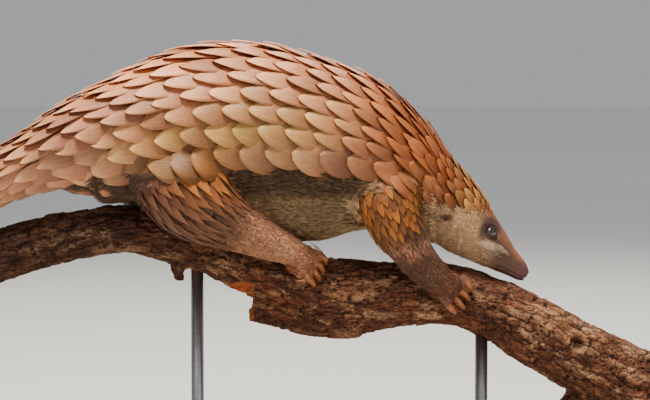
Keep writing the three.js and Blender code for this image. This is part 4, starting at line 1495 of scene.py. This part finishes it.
def claw_body(root, ahead, down, length, radius, bend=math.radians(78), steps=22, sides=18):
    """A curved, tapered claw, deeper than it is wide."""
    across = unit(np.cross(ahead, down))
    size = length / bend
    rings = []
    for i in range(steps + 1):
        t = i / steps
        turn = bend * t
        centre = root + ahead * size * math.sin(turn) + down * size * (1 - math.cos(turn))
        outward = ahead * math.sin(turn) - down * math.cos(turn)
        r = radius * (1 - 0.9 * t ** 2.0)
        angle = np.linspace(0, 2 * math.pi, sides, endpoint=False)[:, None]
        rings.append(centre + across * 0.72 * r * np.cos(angle) + outward * r * np.sin(angle))
    return loft(rings)


def claw_look():
    look = Look("claw_horn", Roughness=0.38)
    grain = look.noise(look.place, 420.0, 5.0)
    look.show(look.ramp(grain, (0.3, srgb(96, 50, 26)), (0.55, srgb(160, 92, 48)),
                        (0.8, srgb(196, 136, 84))))
    look.bump(grain, 0.3, 0.0003)
    return look.material


# How thick a claw's root is by its toe, and how far it reaches into the toe
CLAW_SHARE = 0.94
CLAW_SUNK = 1.5
claw_horn = claw_look()
for name in LEGS:
    toes = TOES[name.split("_")[0]]
    for number, (root, ahead, down, length) in enumerate(toe_frames(name), start=1):
        start = root + ahead * (toes["reach"] - CLAW_SUNK)
        body = claw_body(start, ahead, down, length + CLAW_SUNK, toes["radius"] * CLAW_SHARE)
        claw = mesh_object(f"horn_{name}_{number}", *body)
        claw.data.materials.append(claw_horn)
        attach(claw, "root")
        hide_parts(f"claw_{name}_{number}")


# The branch

BARK_VOXEL = 1.08
BARK_LOW = srgb(104, 60, 42)
BARK_HIGH = srgb(168, 116, 84)
BARK_FLAKE_HIGHLIGHT = srgb(196, 148, 118)
BARK_RED = srgb(142, 74, 46)
BARK_CRACK_SHADE = srgb(40, 22, 16)
BARK_TONE = np.array([0.9, 0.96, 0.86])
SAWN_WOOD = srgb(190, 132, 78)
TORN_WOOD = srgb(176, 92, 40)
KNOT = {"place": (250.0, -30.0, 120.0), "radius": 8.5}
# The rear end is cut upright, the front end square to the branch, in this direction
SAWN_REAR = -241
SAWN_FRONT = np.array([0.905, 0, -0.425])


def limb_tube(stations):
    return Tube([[x, 0, z, r, r, r] for x, z, r in stations])


def limb_body(stations):
    return tube_body(limb_tube(stations), np.zeros_like, sides=56, step=3.0)


def bark_cells(points, size, seed):
    """Distance to the nearest and second nearest cell middles, and a number of each point's cell."""
    near, number = np.zeros(len(points)), np.zeros(len(points))
    for i, p in enumerate(points):
        distances, cells = noise.voronoi(Vector((p[0] / size[0], p[1] / size[1], p[2] / size[2] + seed)))
        near[i] = distances[1] - distances[0]
        number[i] = noise.noise(Vector(cells[0]) * 3.7)
    return near, number


def terraces(values, steps):
    """Flat layers with soft edges, as bark flakes off in."""
    scaled = values * steps
    low = np.floor(scaled)
    return (low + smoothstep(0.0, 0.22, scaled - low)) / steps


def bark_look():
    """Cracked bark: the mesh's own tint, broken into small flakes along the grain."""
    look = Look("bark_cracked", Roughness=0.88, Specular_IOR_Level=0.25)
    grain = look.stretched(0.5, 1.0, 1.0)
    warp = look.noise(grain, 120.0, 5.0, output="Color")
    bent = look.work("VectorMath", "MULTIPLY_ADD", warp, (0.007, 0.007, 0.007), grain)
    flakes = look.node("TexVoronoi", Vector=bent, Scale=330.0)
    edges = look.node("TexVoronoi", Vector=bent, Scale=330.0)
    edges.feature = "DISTANCE_TO_EDGE"
    edge = edges.outputs["Distance"]
    # The flakes' edges are darkened as painted shade in the cracks between them.
    look.show(look.attribute("tint", "Color"), look.ramp(flakes.outputs["Color"], (0.15, 0.72), (0.85, 1.3)),
              look.ramp(edge, (0.0, (0.36, 0.28, 0.25)), (0.09, 1.0)))
    look.bump(edge, 0.7, 0.0008)
    look.bump(look.noise(grain, 700.0, 8.0, 0.65), 0.5, 0.0005)
    return look.material


def grain_places(points):
    """Places along the branch, across it and up from its middle, a little warped."""
    line = limb_tube(BRANCH_STATIONS)
    s, _, _ = line.nearest(points, 3.0)
    centre, _, _, front = line.frame(s)
    height = ((points - centre) * front).sum(1)
    warp = np.stack([noise_at(points, 16.0, k + 20) for k in range(3)], 1)
    return np.stack([s, points[:, 1], height], 1) + warp * np.array([7.0, 3.0, 3.0])


def bark_relief(points, out):
    """Numbers for each point of the bark: its cracks, layers and knot, and where it is sawn or torn."""
    local = grain_places(points)
    crack, cell = bark_cells(local, (15.0, 7.0, 7.0), 0.0)
    small_crack, small_cell = bark_cells(local, (6.5, 3.2, 3.2), 5.0)
    from_break = points - np.array([LIMB_STATIONS[0][0], 0, LIMB_STATIONS[0][1]])
    from_knot = (points - np.array(KNOT["place"])) * np.array([1, 0.4, 1])
    front_end = (out @ SAWN_FRONT > 0.9) * smoothstep(322, 328, points[:, 0])
    return {
        "crack": crack,
        "cell": cell,
        "small_crack": small_crack,
        "small_cell": small_cell,
        "layers": terraces(noise_at(local / np.array([2.6, 1.0, 1.0]), 8.0, 12), 3.2),
        "fissure": np.abs(noise_at(local / np.array([4.5, 1.0, 1.0]), 7.0, 14)),
        "torn": smoothstep(3.0, -2.0, from_break[:, 0]) * (np.linalg.norm(from_break, axis=1) < 26),
        "sawn": np.maximum(smoothstep(SAWN_REAR + 0.5, SAWN_REAR - 0.5, points[:, 0]), front_end),
        "knot": np.linalg.norm(from_knot, axis=1) / KNOT["radius"],
    }


def bark_height(points, relief):
    """How far the bark stands out of the plain branch."""
    plates = smoothstep(0.0, 0.14, relief["crack"]) * 1.5 + relief["cell"] * 1.1
    flakes = smoothstep(0.0, 0.16, relief["small_crack"]) * 0.5 + relief["small_cell"] * 0.45
    furrows = -1.1 * smoothstep(0.07, 0.0, relief["fissure"])
    swell = 1.5 * noise_at(points, 34.0, 8) + 0.6 * noise_at(points, 9.0, 9)
    knot = relief["knot"]
    ring = 2.4 * np.exp(-((knot - 1.0) / 0.3) ** 2) - 2.6 * smoothstep(0.8, 0.2, knot)
    return (plates + flakes + furrows + 1.1 * relief["layers"] + swell + ring - 2.6) * (1 - relief["sawn"])


def bark_colour(points, relief, height):
    """Painted shade in its cracks, hollows and to the left, painted highlights on raised flakes, bare wood
    at the ends.
    """
    # Paler where the bark stands out and darker where it sinks: partly the layers' own colours, partly
    # painted light and shade.
    colour = mix(BARK_LOW, BARK_HIGH, smoothstep(-1.2, 1.6, height)[:, None])
    # Painted highlight on the raised flakes.
    flake_highlight = smoothstep(0.1, 0.8, relief["layers"] + 0.4 * relief["small_cell"])
    colour = blend(colour, BARK_FLAKE_HIGHLIGHT, 0.5 * flake_highlight)
    colour = blend(colour, BARK_RED, 0.4 * smoothstep(0.1, 0.6, noise_at(points, 22.0, 31)))
    # Painted shade in the cracks, the fissures and the knot's hollow.
    dark = smoothstep(0.09, 0.0, relief["crack"])
    dark = np.maximum(dark, 0.7 * smoothstep(0.08, 0.0, relief["small_crack"]))
    dark = np.maximum(dark, 0.85 * smoothstep(0.05, 0.0, relief["fissure"]))
    dark = np.maximum(dark, 0.8 * smoothstep(0.9, 0.3, relief["knot"]))
    # Painted shade: the branch is darker towards its left end.
    lit = mix(0.44, 0.95, smoothstep(-180, 60, points[:, 0]))
    colour = blend(colour, BARK_CRACK_SHADE, 0.9 * dark) * lit[:, None] * BARK_TONE
    return blend(blend(colour, SAWN_WOOD, relief["sawn"]), TORN_WOOD, 0.75 * relief["torn"])


def make_branch():
    bodies = [limb_body(s) for s in (BRANCH_STATIONS, LIMB_STATIONS, SNAG_STATIONS, FORK_STATIONS)]
    data = remeshed("branch_bark", bodies, BARK_VOXEL)
    points = coordinates(data)
    points = relaxed(data, points, np.full(len(points), 0.5), 3)
    set_coordinates(data, points)
    out = normals(data)
    relief = bark_relief(points, out)
    height = bark_height(points, relief)
    splinter = 3.5 * noise_at(points / np.array([3.0, 1.0, 1.0]), 3.5, 40) - 1.0
    ahead = np.array([1.0, 0, 0])
    points = points + out * height[:, None] + ahead * (splinter * relief["torn"])[:, None]
    set_coordinates(data, points)
    made = placed("branch_bark", data)
    paint(made, bark_colour(points, relief, height))
    return made


branch = make_branch()
branch.data.materials.append(bark_look())
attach(branch, "root")
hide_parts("branch")


# The stand

def wood_look():
    look = Look("stand_walnut", Roughness=0.42)
    grain = look.noise(look.stretched(6.0, 90.0, 90.0), 1.0, 9.0, 0.62, Distortion=0.6)
    look.show(look.ramp(grain, (0.3, srgb(58, 38, 28)), (0.5, srgb(92, 62, 44)), (0.72, srgb(122, 86, 60))))
    look.bump(grain, 0.15, 0.0004)
    return look.material


def steel_look():
    look = Look("stand_steel", Metallic=1.0)
    brush = look.noise(look.stretched(60.0, 60.0, 4000.0), 1.0, 4.0)
    look.show(look.ramp(brush, (0.3, srgb(150, 150, 152)), (0.7, srgb(186, 186, 188))))
    look.feed(look.shader, Roughness=look.ramp(brush, (0.3, 0.28), (0.7, 0.42)))
    return look.material


def round_plate(name, size):
    """The stand's base, with rounded corners and soft upper and lower edges."""
    edge, corner = size["edge"], size["corner"]
    middle_x, middle_y = size["length"] / 2 - corner, size["width"] / 2 - corner
    quarter = np.linspace(0, math.pi / 2, 13)
    lower = [(edge * (1 - math.cos(t)), edge * (1 - math.sin(t))) for t in quarter[::-1]]
    upper = [(inset, size["height"] - z) for inset, z in reversed(lower)]
    rings = []
    for inset, z in lower + upper:
        ring = []
        for number, (sx, sy) in enumerate(((1, 1), (-1, 1), (-1, -1), (1, -1))):
            for t in np.linspace(0, math.pi / 2, 17):
                a = number * math.pi / 2 + t
                radius = corner - inset
                ring.append([sx * middle_x + radius * math.cos(a), sy * middle_y + radius * math.sin(a), z])
        rings.append(ring)
    return mesh_object(name, *loft(rings))


def rod_piece(name, x, top):
    """A rod in a round foot, turned from a profile of radii and heights."""
    low, foot, radius = BASE["height"] + 0.3, ROD["foot"], ROD["radius"]
    high = low + ROD["foot_height"]
    profile = [(0.2, low), (foot - 0.2, low), (foot, low + 0.3),
               (foot, high - 0.8), (foot - 0.25, high - 0.25), (foot - 0.8, high),
               (radius + 1.2, high), (radius + 0.35, high + 0.35), (radius, high + 1.2),
               (radius, top), (0.2, top)]
    turn = np.linspace(0, 2 * math.pi, 64, endpoint=False)
    rings = [np.stack([x + r * np.cos(turn), r * np.sin(turn), np.full_like(turn, z)], 1)
             for r, z in profile]
    return mesh_object(name, *loft(rings))


base = round_plate("stand_plate", BASE)
base.data.materials.append(wood_look())
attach(base, "root")
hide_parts("stand_base")
steel = steel_look()
for number, x in enumerate(ROD["places"], start=1):
    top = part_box(f"stand_rod_{number}")[1][2] / MM
    rod = rod_piece(f"stand_post_{number}", x, top)
    rod.data.materials.append(steel)
    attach(rod, "root")
    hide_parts(f"stand_rod_{number}")


# Floor, light and camera

FLOOR_SIZE = 60000


def floor_look():
    """A floor that is paler further off."""
    look = Look("floor_pale", Roughness=0.85)
    far = look.work("VectorMath", "LENGTH", look.place, output="Value")
    share = look.node("MapRange", Value=far, From_Min=0.8, From_Max=6.0).outputs["Result"]
    # Painted light: the far floor is made paler, which evens it out with the backdrop.
    look.show(look.ramp(share, (0.0, (0.66, 0.655, 0.64)), (1.0, (0.93, 0.93, 0.92))))
    return look.material


corners = [(-1, -1), (1, -1), (1, 1), (-1, 1)]
floor = mesh_object("floor", [[FLOOR_SIZE * x, FLOOR_SIZE * y, 0] for x, y in corners], [(0, 1, 2, 3)])
floor.data.materials.append(floor_look())


def area_light(name, place, size, power, colour):
    data = bpy.data.lights.new(name, "AREA")
    data.shape = "DISK"
    data.size = size
    data.energy = power
    data.color = colour
    made = bpy.data.objects.new(name, data)
    made.location = place
    made.rotation_euler = (Vector(LIT_MIDDLE) - Vector(place)).to_track_quat("-Z", "Y").to_euler()
    bpy.context.scene.collection.objects.link(made)


LIT_MIDDLE = (0.0, 0.0, 0.22)
area_light("key", place=(-0.35, -0.5, 1.95), size=0.6, power=88, colour=(1.0, 0.93, 0.82))
area_light("fill", place=(1.5, -1.6, 0.9), size=1.6, power=6, colour=(1.0, 0.96, 0.9))
area_light("rim", place=(0.4, 1.4, 1.6), size=1.0, power=22, colour=(1.0, 0.95, 0.88))
world = bpy.data.worlds.new("studio")
world.use_nodes = True
backdrop = world.node_tree.nodes["Background"]
backdrop.inputs["Color"].default_value = (0.86, 0.88, 0.9, 1)
backdrop.inputs["Strength"].default_value = 0.46
bpy.context.scene.world = world

FRAME_MIDDLE = Vector((0.0504, 0.0, 0.232))
FRAME_WIDTH = 0.52
LENS = 110
SENSOR = 36
ELEVATION = math.radians(3)
camera_data = bpy.data.cameras.new("camera")
camera_data.lens = LENS
camera_data.sensor_width = SENSOR
camera = bpy.data.objects.new("camera", camera_data)
distance = FRAME_WIDTH * LENS / SENSOR
camera.location = FRAME_MIDDLE + Vector((0, -math.cos(ELEVATION), math.sin(ELEVATION))) * distance
camera.rotation_euler = (FRAME_MIDDLE - camera.location).to_track_quat("-Z", "Y").to_euler()
bpy.context.scene.collection.objects.link(camera)
bpy.context.scene.camera = camera

bpy.context.view_layer.update()
